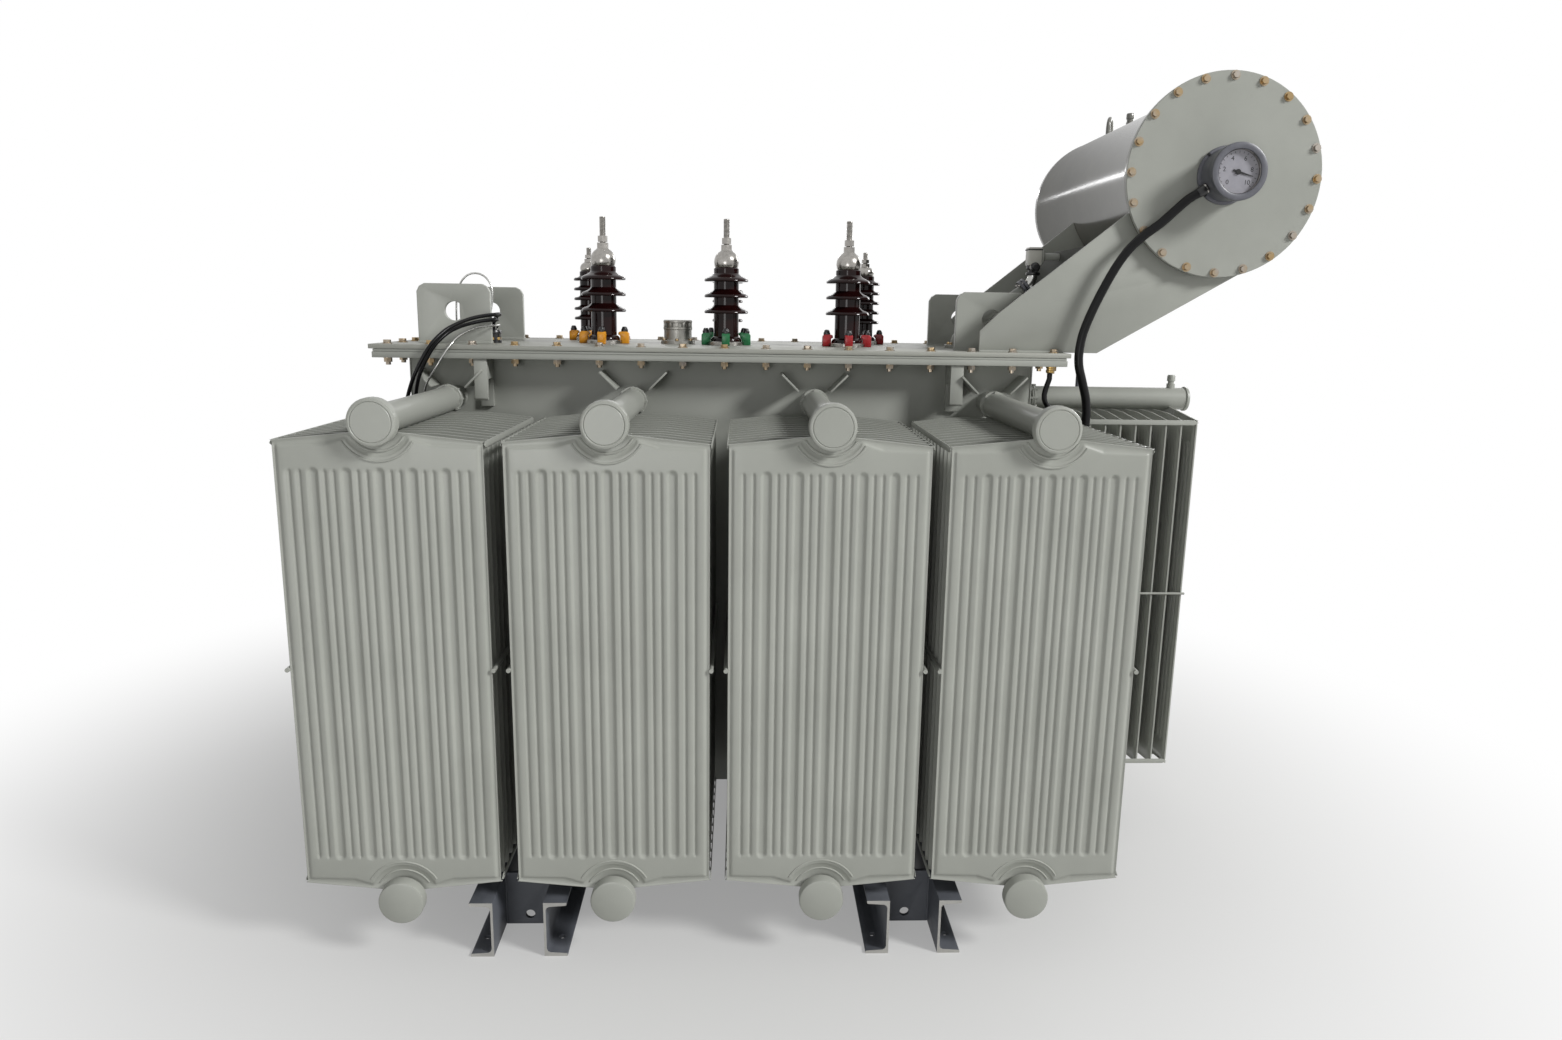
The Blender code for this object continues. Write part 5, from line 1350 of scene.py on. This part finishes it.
RELIEF_PLACE = (-0.166, -0.040)
RELIEF_PROFILE = (
    (0, 0.0), (0.058, 0.0), (0.058, 0.010), (0.0565, 0.012), (0.049, 0.012), (0.047, 0.015),
    (0.047, 0.047), (0.0490, 0.049), (0.0490, 0.056), (0.041, 0.057), (0.041, 0.070),
    (0.0485, 0.071), (0.049, 0.073), (0.049, 0.077), (0.046, 0.080), (0, 0.080),
)
RELIEF_POSTS = 12
RELIEF_SCREWS = 6
RELIEF_SCREW_CIRCLE = 0.0515
RELIEF_SCREW_HEIGHT = 0.011


def make_relief_valve():
    place = on_tank(*RELIEF_PLACE, SEAT)
    body = turned("relief_body", RELIEF_PROFILE, CAST_ZINC, place)
    post = block("post", (0.0405, -0.0055, 0.055), (0.0478, 0.0055, 0.0725), CAST_ZINC, 0.001)
    posts = repeated("posts", post, ring_places(place, RELIEF_POSTS))
    screw = hexagon_bolt("screw", radius=0.0060, head=0.005, surface=YELLOW_ZINC)
    spots = ring_places(place, RELIEF_SCREWS, 0.5, RELIEF_SCREW_CIRCLE, RELIEF_SCREW_HEIGHT)
    fixed(joined("relief_valve", [body, posts, repeated("screws", screw, spots)]), "relief_cap")


make_relief_valve()


# Conservator, its brackets and its gauge

DRUM_X = 1.524
DRUM_Z = 2.1662
DRUM_FRONT = -0.3965
DRUM_LENGTH = 1.1365
SHELL_RADIUS = 0.2660
DISC_RADIUS = 0.3035
DISC_THICKNESS = 0.012
DISC_BOLTS = 20
DISC_BOLT_CIRCLE = 0.289
DISC_BOLT_PHASE = math.radians(17.2)
SADDLE_TANGENT_RADIUS = 0.2973
EYE_Y = 0.680
EYE_TURN = math.radians(60.0)
FILLER_Y = 0.455
GLAND_ANGLE = math.radians(212.0)
DISC_BOLT_RADIUS = 0.0105
DISC_BOLT_HEAD = 0.008
DISC_BOLT_SPIN = 0.9
FILLER_PROFILE = (
    (0, -0.004), (0.0145, -0.004), (0.0145, 0.030), (0.0125, 0.032), (0.0125, 0.042),
    (0.0150, 0.043), (0.0150, 0.059), (0.0130, 0.063), (0, 0.063),
)
EYE_LINE = (
    (-0.028, 0, -0.010), (-0.028, 0, 0.062), (0, 0, 0.088), (0.028, 0, 0.062),
    (0.028, 0, -0.010),
)
EYE_RADIUS = 0.0090
EYE_BEND = 0.024
DRUM_CENTRE = Vector((DRUM_X + TANK_X, DRUM_FRONT, DRUM_Z))


def shell_profile():
    """From the disc back: its seat, the rolled wall, a weld, and the dished-in end."""
    rim, start, end = DISC_RADIUS - 0.0010, DISC_THICKNESS + FIT_GAP, DRUM_LENGTH
    return [
        (0, start), (rim - 0.0010, start), (rim, start + 0.0012), (rim, 0.022),
        (rim - 0.0015, 0.0235), (SHELL_RADIUS + 0.0010, 0.024), (SHELL_RADIUS, 0.030),
        (SHELL_RADIUS, end - 0.030), (SHELL_RADIUS + 0.0012, end - 0.028),
        (SHELL_RADIUS + 0.0012, end - 0.022), (SHELL_RADIUS, end - 0.020),
        (SHELL_RADIUS, end - 0.001), (SHELL_RADIUS - 0.001, end), (SHELL_RADIUS - 0.005, end),
        (SHELL_RADIUS - 0.006, end - 0.001), (SHELL_RADIUS - 0.008, end - 0.012),
        (0, end - 0.012),
    ]


def make_drum():
    axis = along(DRUM_CENTRE, (0, 1, 0))
    disc = turned("disc", disc_profile(DISC_RADIUS, 0, DISC_THICKNESS, 0.0015), ENAMEL, axis,
                  FINE_SIDES)
    bolt = hexagon_bolt("bolt", DISC_BOLT_RADIUS, DISC_BOLT_HEAD, YELLOW_ZINC, washer_share=1.38)
    spots = []
    for i in range(DISC_BOLTS):
        angle = DISC_BOLT_PHASE + i * 2 * math.pi / DISC_BOLTS
        way = Vector((math.cos(angle), 0, math.sin(angle)))
        spots.append(along(DRUM_CENTRE + DISC_BOLT_CIRCLE * way, (0, -1, 0))
                     @ Matrix.Rotation(i * DISC_BOLT_SPIN, 4, "Z"))
    fixed(joined("bolted_disc", [disc, repeated("disc_bolts", bolt, spots)]),
          "conservator_front_cover")
    shell = turned("shell", shell_profile(), GLOSSY_ENAMEL, axis, FINE_SIDES)
    top = DRUM_Z + SHELL_RADIUS
    filler = turned("filler", FILLER_PROFILE, GLOSSY_ENAMEL, on_tank(DRUM_X, FILLER_Y, top),
                    SMALL_SIDES)
    fixed(joined("rolled_shell", [shell, filler]), "conservator_shell")
    eye = tube("lifting_eye", EYE_LINE, EYE_RADIUS, GLOSSY_ENAMEL, EYE_BEND)
    eye.data.transform(on_tank(DRUM_X, EYE_Y, top) @ Matrix.Rotation(EYE_TURN, 4, "Z"))
    fixed(eye, "conservator_lifting_eye")


BRACKET_TOE = 1.181
BRACKET_HEEL = 0.803
BRACKET_HEEL_HEIGHT = 0.064
BRACKET_SHOULDER = (0.859, 0.119)
BRACKET_THICKNESS = 0.010
BRACKET_PLACES = (("bracket_front", -0.3665), ("bracket_back", 0.2620))
BRACKET_WELD_RADIUS = 0.0045
BRACKET_WELD_END = 1.071
SADDLE_GAP = 0.0008
SADDLE_FIRST = math.radians(200.0)
SADDLE_LAST = math.radians(295.0)
CROSS_TIE_X = 1.130
CROSS_TIE_THICKNESS = 0.008
CROSS_TIE_ENDS = (-0.3562, 0.2617)
CROSS_TIE_LEVELS = (1.7832, 1.9532)


def make_brackets():
    """Two slanting plates with a round saddle for the drum, and the plate between them."""
    centre = Vector((DRUM_X, DRUM_Z - SEAT))
    reach = centre - Vector((BRACKET_TOE, 0.0))
    slant = math.atan2(reach.y, reach.x) - math.asin(SADDLE_TANGENT_RADIUS / reach.length)
    outline = [(BRACKET_TOE, 0.0), (BRACKET_HEEL, 0.0), (BRACKET_HEEL, BRACKET_HEEL_HEIGHT),
               BRACKET_SHOULDER]
    arc = [(SHELL_RADIUS + SADDLE_GAP,
            SADDLE_FIRST + (SADDLE_LAST - SADDLE_FIRST) * i / SADDLE_STEPS)
           for i in range(SADDLE_STEPS + 1)]
    for radius, angle in [*arc, (SADDLE_TANGENT_RADIUS, 1.5 * math.pi + slant)]:
        outline.append((centre.x + radius * math.cos(angle), centre.y + radius * math.sin(angle)))
    for node, near in BRACKET_PLACES:
        made = plate(node + "_plate", outline, BRACKET_THICKNESS, ENAMEL, UPRIGHT, 0.0014)
        made.data.transform(on_tank(0, near + BRACKET_THICKNESS, SEAT))
        welds = [made]
        for y in (near - 0.0005, near + BRACKET_THICKNESS + 0.0005):
            welds.append(bar("weld", (BRACKET_HEEL + TANK_X, y, SEAT + 0.001),
                             (BRACKET_WELD_END + TANK_X, y, SEAT + 0.001), BRACKET_WELD_RADIUS,
                             ENAMEL, WELD_SIDES))
        fixed(joined(made.name, welds), node)
    x = CROSS_TIE_X + TANK_X
    # The plate between the brackets is painted dark grey as painted shade for the shadowed gap
    # under the drum
    tie = block("cross_tie", (x, CROSS_TIE_ENDS[0], CROSS_TIE_LEVELS[0]),
                (x + CROSS_TIE_THICKNESS, CROSS_TIE_ENDS[1], CROSS_TIE_LEVELS[1]), SHADE_GREY, 0.0012)
    fixed(tie, "bracket_tie_plate")


def figure(value, size):
    """A plain number as thin raised print."""
    deselect()
    bpy.ops.object.text_add()
    words = active()
    words.data.body = value
    words.data.size = size
    words.data.align_x = "CENTER"
    words.data.align_y = "CENTER"
    words.data.extrude = 0.0002
    bpy.ops.object.convert(target="MESH")
    return settled("figure", BLACK_PHENOLIC)


GAUGE_PROFILE = (
    (0, 0.0), (0.0860, 0.0), (0.0870, 0.0015), (0.0870, 0.008), (0.0855, 0.010),
    (0.0795, 0.011), (0.0785, 0.013), (0.0785, 0.078), (0.0800, 0.081), (0.0825, 0.082),
    (0.0840, 0.085), (0.0840, 0.099), (0.0828, 0.1022), (0.0800, 0.1035), (0.0690, 0.1035),
    (0.0655, 0.1022), (0.0640, 0.0990), (0.0640, 0.0855), (0, 0.0855),
)
BEZEL_PROFILE = (
    (0.0628, 0.0860), (0.0640, 0.0860), (0.0640, 0.0985), (0.0634, 0.0992), (0.0628, 0.0985),
    (0.0628, 0.0860),
)
GAUGE_SIDES = 64
DIAL_BACK = 0.0856
DIAL_FACE = 0.0868
DIAL_RADIUS = 0.0636
DIAL_START = math.radians(225.0)
DIAL_SWEEP = math.radians(270.0)
FIGURE_CIRCLE = 0.0425
FIGURE_SIZE = 0.0190
TICK_STEPS = 4
TICK_INNER = 0.0535
TICK_OUTER = 0.0595
NEEDLE_OUTLINE = (
    (-0.016, -0.0034), (-0.016, 0.0034), (0.010, 0.0030), (0.048, 0.0008), (0.048, -0.0008),
    (0.010, -0.0030),
)
NEEDLE_TURN = math.radians(-15.0)
NEEDLE_LIFT = 0.0016
HUB_PROFILE = ((0, 0.0), (0.0080, 0.0), (0.0080, 0.0035), (0.0060, 0.0050), (0, 0.0050))
GAUGE_SCREW_CIRCLE = 0.0830
GAUGE_SCREW_HEIGHT = 0.0078
GLAND_SETBACK = 0.034
GAUGE_GLAND_PROFILE = (
    (0.0, 0.068), (0.0160, 0.068), (0.0160, 0.080), (0.0140, 0.081), (0.0140, 0.086),
    (0.0160, 0.087), (0.0160, 0.098), (0.0148, 0.104), (0.0142, 0.110), (0, 0.110),
)
GLAND_RING_PROFILE = (
    (0.0150, 0.0815), (0.0166, 0.0815), (0.0166, 0.0862), (0.0150, 0.0862), (0.0150, 0.0815),
)


def dial_print(face):
    """The plain numbers and the ticks round the dial, in place on its face."""
    made = []
    for i in range(DIAL_FIGURES):
        angle = DIAL_START - DIAL_SWEEP * i / (DIAL_FIGURES - 1)
        words = figure(str(2 * i), FIGURE_SIZE)
        words.data.transform(
            face @ moved(FIGURE_CIRCLE * math.cos(angle), FIGURE_CIRCLE * math.sin(angle), 0))
        made.append(words)
    ticks = TICK_STEPS * (DIAL_FIGURES - 1)
    tick = block("tick", (TICK_INNER, -0.0006, 0.0), (TICK_OUTER, 0.0006, 0.0004),
                 BLACK_PHENOLIC, 0)
    spots = [face @ Matrix.Rotation(DIAL_START - DIAL_SWEEP * i / ticks, 4, "Z")
             for i in range(ticks + 1)]
    return [*made, repeated("ticks", tick, spots)]


def make_gauge():
    origin = DRUM_CENTRE - Vector((0, FIT_GAP, 0))
    place = along(origin, (0, -1, 0))
    facing = Matrix.Translation(origin) @ UPRIGHT
    face = facing @ moved(0, 0, DIAL_FACE)
    dial_profile = [(0, DIAL_BACK), (DIAL_RADIUS, DIAL_BACK), (DIAL_RADIUS, DIAL_FACE),
                    (0, DIAL_FACE)]
    # The dial's grey is painted shade for the glass and bezel over a white face
    parts = [turned(name, profile, surface, place, GAUGE_SIDES) for name, profile, surface in (
        ("body", GAUGE_PROFILE, CAST_ALUMINIUM), ("bezel", BEZEL_PROFILE, BRIGHT_ZINC),
        ("dial", dial_profile, SHADED_DIAL))]
    parts += dial_print(face)
    lay = face @ moved(0, 0, NEEDLE_LIFT) @ Matrix.Rotation(NEEDLE_TURN, 4, "Z")
    parts.append(plate("needle", NEEDLE_OUTLINE, 0.0010, BLACK_PHENOLIC, lay, 0))
    parts.append(turned("hub", HUB_PROFILE, BLACK_PHENOLIC, face, SMALL_SIDES))
    screw = hexagon_bolt("screw", radius=0.0045, head=0.004, surface=BLACK_PHENOLIC)
    spots = ring_places(facing, 4, 0.5, GAUGE_SCREW_CIRCLE, GAUGE_SCREW_HEIGHT)
    parts.append(repeated("screws", screw, spots))
    way = (math.cos(GLAND_ANGLE), 0, math.sin(GLAND_ANGLE))
    root = along(DRUM_CENTRE - Vector((0, GLAND_SETBACK, 0)), way)
    parts.append(turned("gland", GAUGE_GLAND_PROFILE, BLACK_PHENOLIC, root, SMALL_SIDES))
    parts.append(turned("gland_ring", GLAND_RING_PROFILE, BRIGHT_ZINC, root, SMALL_SIDES))
    fixed(joined("dial_gauge", parts), "oil_gauge")


make_drum()
make_brackets()
make_gauge()


# Oil pipe and breather: heights over the seat, and over the riser's foot

OIL_PIPE_Y = -0.060
OIL_PIPE_FOOT = 0.790
OIL_PIPE_BEND = 0.035
OIL_PIPE_ELBOW = (1.018, 0.205)
OIL_PIPE_RISER = (1.044, 0.232)
OIL_PIPE_RADIUS = 0.017
OIL_FOOT_PROFILE = (
    (0, 0.0), (0.038, 0.0), (0.038, 0.010), (0.0365, 0.012), (0.0185, 0.012), (0.0170, 0.016),
    (0, 0.016),
)
OIL_FOOT_BOLT_CIRCLE = 0.0290
JOINT_RADIUS = 0.0320
JOINT_HALVES = ((-0.0110, -0.0012), (0.0012, 0.0110))
JOINT_BOLT_CIRCLE = 0.0255
JOINT_BOLT_HALF = 0.0170
JOINT_BOLT_RADIUS = 0.0048
ELBOW_RADIUS = 0.0165
ELBOW_TOP = 0.032
VALVE_PROFILE = (
    (0, 0.016), (0.0230, 0.016), (0.0240, 0.018), (0.0240, 0.024), (0.0230, 0.026),
    (0.0165, 0.027), (0.0165, 0.034), (0.0230, 0.038), (0.0230, 0.056), (0, 0.056),
)
PORT_REACH = 0.020
PORT_HEIGHT = 0.042
PORT_PROFILE = (
    (0, 0.0), (0.0165, 0.0), (0.0165, 0.006), (0.0120, 0.008), (0.0120, 0.016),
    (0.0095, 0.019), (0, 0.019),
)
PORT_RING_PROFILE = (
    (0.0105, 0.0078), (0.0160, 0.0062), (0.0172, 0.0030), (0.0172, 0.0012), (0.0105, 0.0012),
    (0.0105, 0.0078),
)
RELAY_HEIGHT = 0.3105
RELAY_HALF = 0.0225
RELAY_HALF_HEIGHT = 0.0300
RELAY_LID_LAP = 0.002
RELAY_LID_LEVELS = (0.0200, 0.0240)
BRANCH_RADIUS = 0.012
BRANCH_COLLAR_PROFILE = ((0, 0.0), (0.026, 0.0), (0.026, 0.006), (0.017, 0.012), (0, 0.012))


def make_oil_pipe():
    foot = Vector((OIL_PIPE_FOOT + TANK_X, OIL_PIPE_Y, SEAT))
    bend = foot + OIL_PIPE_BEND * UP
    elbow = Vector((OIL_PIPE_ELBOW[0] + TANK_X, OIL_PIPE_Y, SEAT + OIL_PIPE_ELBOW[1]))
    riser = Vector((OIL_PIPE_RISER[0] + TANK_X, OIL_PIPE_Y, SEAT + OIL_PIPE_RISER[1]))
    relay = Vector((riser.x, OIL_PIPE_Y, SEAT + RELAY_HEIGHT))
    base, joint = Matrix.Translation(foot), along(elbow, elbow - bend)
    bolt = hexagon_bolt("bolt", radius=0.0058, head=0.005, surface=YELLOW_ZINC)
    parts = [
        tube("run", [foot + 0.004 * UP, bend, elbow], OIL_PIPE_RADIUS, ENAMEL, 0.018),
        turned("foot_flange", OIL_FOOT_PROFILE, ENAMEL, base),
        repeated("bolts", bolt, ring_places(base, 4, 0.5, OIL_FOOT_BOLT_CIRCLE, 0.0118)),
    ]
    for low, high in JOINT_HALVES:
        parts.append(turned("joint", disc_profile(JOINT_RADIUS, low, high, 0.0008),
                            CAST_ALUMINIUM, joint))
    clamp = bar("clamp", (JOINT_BOLT_CIRCLE, 0, -JOINT_BOLT_HALF),
                (JOINT_BOLT_CIRCLE, 0, JOINT_BOLT_HALF), JOINT_BOLT_RADIUS, BRIGHT_ZINC, HEXAGON)
    parts.append(repeated("clamps", clamp, ring_places(joint, 4, 0.5)))
    parts.append(tube("elbow", [elbow, riser, riser + ELBOW_TOP * UP], ELBOW_RADIUS,
                      TINNED_COPPER, 0.020))
    parts.append(turned("valve", VALVE_PROFILE, BLACK_PHENOLIC, Matrix.Translation(riser)))
    port = along(riser + Vector((0, -PORT_REACH, PORT_HEIGHT)), (0, -1, 0))
    parts.append(turned("port", PORT_PROFILE, BLACK_PHENOLIC, port))
    parts.append(turned("port_ring", PORT_RING_PROFILE, BRIGHT_ZINC, port))
    half = Vector((RELAY_HALF, RELAY_HALF, RELAY_HALF_HEIGHT))
    parts.append(block("relay", relay - half, relay + half, CREAM_ENAMEL, 0.003))
    lap = RELAY_HALF + RELAY_LID_LAP
    low, high = RELAY_LID_LEVELS
    parts.append(block("relay_lid", relay + Vector((-lap, -lap, low)),
                       relay + Vector((lap, lap, high)), NITRILE, 0.001))
    shell_side = DRUM_CENTRE.x - math.sqrt(SHELL_RADIUS ** 2 - (DRUM_Z - relay.z) ** 2)
    parts.append(tube("branch", [relay, (shell_side + 0.002, relay.y, relay.z)], BRANCH_RADIUS,
                      ENAMEL))
    parts.append(turned("collar", BRANCH_COLLAR_PROFILE, ENAMEL,
                        along(relay + Vector((RELAY_HALF, 0, 0)), (1, 0, 0))))
    fixed(joined("oil_pipe", parts), "conservator_pipe")


BREATHER_PLACE = (1.320, 0.227)
BREATHER_TOP = 1.400
BREATHER_BOTTOM = 1.170
BREATHER_CAP = 0.022
BREATHER_RADIUS = 0.040
BREATHER_EDGE = 0.002
BREATHER_TUBE_RADIUS = 0.008
GEL_RADIUS = 0.034
BREATHER_ROD_CIRCLE = 0.0368
BREATHER_ROD_RADIUS = 0.0028


def make_breather():
    x, y = BREATHER_PLACE
    low, top = BREATHER_BOTTOM, BREATHER_TOP
    place = on_tank(x, y, 0)
    under_shell = DRUM_Z - math.sqrt(SHELL_RADIUS ** 2 - (DRUM_X - x) ** 2) + 0.001
    caps = turned("caps", disc_profile(BREATHER_RADIUS, low, low + BREATHER_CAP, BREATHER_EDGE),
                  CAST_ALUMINIUM, place)
    lid = disc_profile(BREATHER_RADIUS, top - BREATHER_CAP, top, BREATHER_EDGE)[:-1]
    head = turned("head", [
        *lid, (0.012, top + 0.004), (BREATHER_TUBE_RADIUS, top + 0.012),
        (BREATHER_TUBE_RADIUS, under_shell), (0, under_shell)], CAST_ALUMINIUM, place)
    gel = turned("gel", [
        (0, low + 0.0215), (GEL_RADIUS - 0.0005, low + 0.0215), (GEL_RADIUS, low + 0.024),
        (GEL_RADIUS, top - 0.024), (GEL_RADIUS - 0.0005, top - 0.0215), (0, top - 0.0215)],
        SILICA_GEL, place)
    rod = bar("rod", (BREATHER_ROD_CIRCLE, 0, low + 0.010),
              (BREATHER_ROD_CIRCLE, 0, top - 0.010), BREATHER_ROD_RADIUS, BRIGHT_ZINC, 10)
    rods = repeated("rods", rod, ring_places(place, 3, 0.25))
    fixed(joined("silica_breather", [caps, head, gel, rods]), "breather")


make_oil_pipe()
make_breather()


# Boxes on the end walls and the thermometer pocket

BOX_REACH = 0.075
BOX_SIDES = (-0.320, -0.170)
BOX_LEVELS = (0.800, 1.010)
BOX_LID = 0.010
BOX_LAP = 0.003
BOX_SCREW_INSET = 0.015
# A gland's outline on a box: shares of its radius, and heights
BOX_GLAND_SHARES = ((1, -0.002), (1, 0.010), (0.88, 0.011), (0.88, 0.015), (1, 0.016),
                    (1, 0.025), (0.86, 0.030), (0, 0.030))
# Each gland's place on the tank and its radius
TERMINAL_GLANDS = ((1.020, -0.210, 0.016), (1.015, -0.280, 0.013))
THERMOMETER_GLANDS = (
    (-1.025, -0.280, 0.013), (-1.025, -0.208, 0.013), (-1.000, -0.244, 0.010))
POCKET_PLACE = (-0.755, -0.200)
SEAT_NUT_RADIUS = 0.0262
SEAT_NUT_LEVELS = (0.010, 0.018)
POCKET_PROFILE = (
    (0, 0.0), (0.026, 0.0), (0.026, 0.008), (0.0235, 0.010), (0.0235, 0.028), (0.026, 0.030),
    (0.026, 0.038), (0.0235, 0.042), (0, 0.042),
)


def make_box(node, sign, glands):
    """A box on an end wall, its lid facing outwards, with cable glands on top."""
    (low_y, high_y), (low, high) = BOX_SIDES, BOX_LEVELS
    wall = sign * (TANK_HALF_LENGTH + FIT_GAP) + TANK_X
    face = wall + sign * BOX_REACH
    low_x, high_x = sorted((wall, face - sign * BOX_LID))
    parts = [block("box", (low_x, low_y + BOX_LAP, low + BOX_LAP),
                   (high_x, high_y - BOX_LAP, high), ENAMEL, 0.003)]
    low_x, high_x = sorted((face - sign * (BOX_LID + 0.0015), face))
    parts.append(block("lid", (low_x, low_y, low), (high_x, high_y, high), ENAMEL, 0.003))
    screw = hexagon_bolt("screw", radius=0.005, head=0.004, surface=BRIGHT_ZINC, washer_share=1.4)
    spots = [along((face - sign * 0.0045, y, z), (sign, 0, 0))
             for y in (low_y + BOX_SCREW_INSET, high_y - BOX_SCREW_INSET)
             for z in (low + BOX_SCREW_INSET, high - BOX_SCREW_INSET)]
    parts.append(repeated("screws", screw, spots))
    for x, y, radius in glands:
        profile = [(radius * out, up) for out, up in BOX_GLAND_SHARES]
        parts.append(turned("gland", [(0, -0.002), *profile], BRASS, on_tank(x, y, high),
                            SMALL_SIDES))
    fixed(joined(node + "_case", parts), node)


def make_pocket():
    place = on_tank(*POCKET_PLACE, SEAT)
    body = turned("pocket", POCKET_PROFILE, BLACK_PHENOLIC, place)
    low, high = SEAT_NUT_LEVELS
    ring = bar("seat_nut", low * UP, high * UP, SEAT_NUT_RADIUS, BRASS, HEXAGON)
    ring.data.transform(place)
    fixed(joined("pocket_head", [body, ring]), "thermometer_pocket")


make_box("terminal_box", 1, TERMINAL_GLANDS)
make_box("thermometer_box", -1, THERMOMETER_GLANDS)
make_pocket()
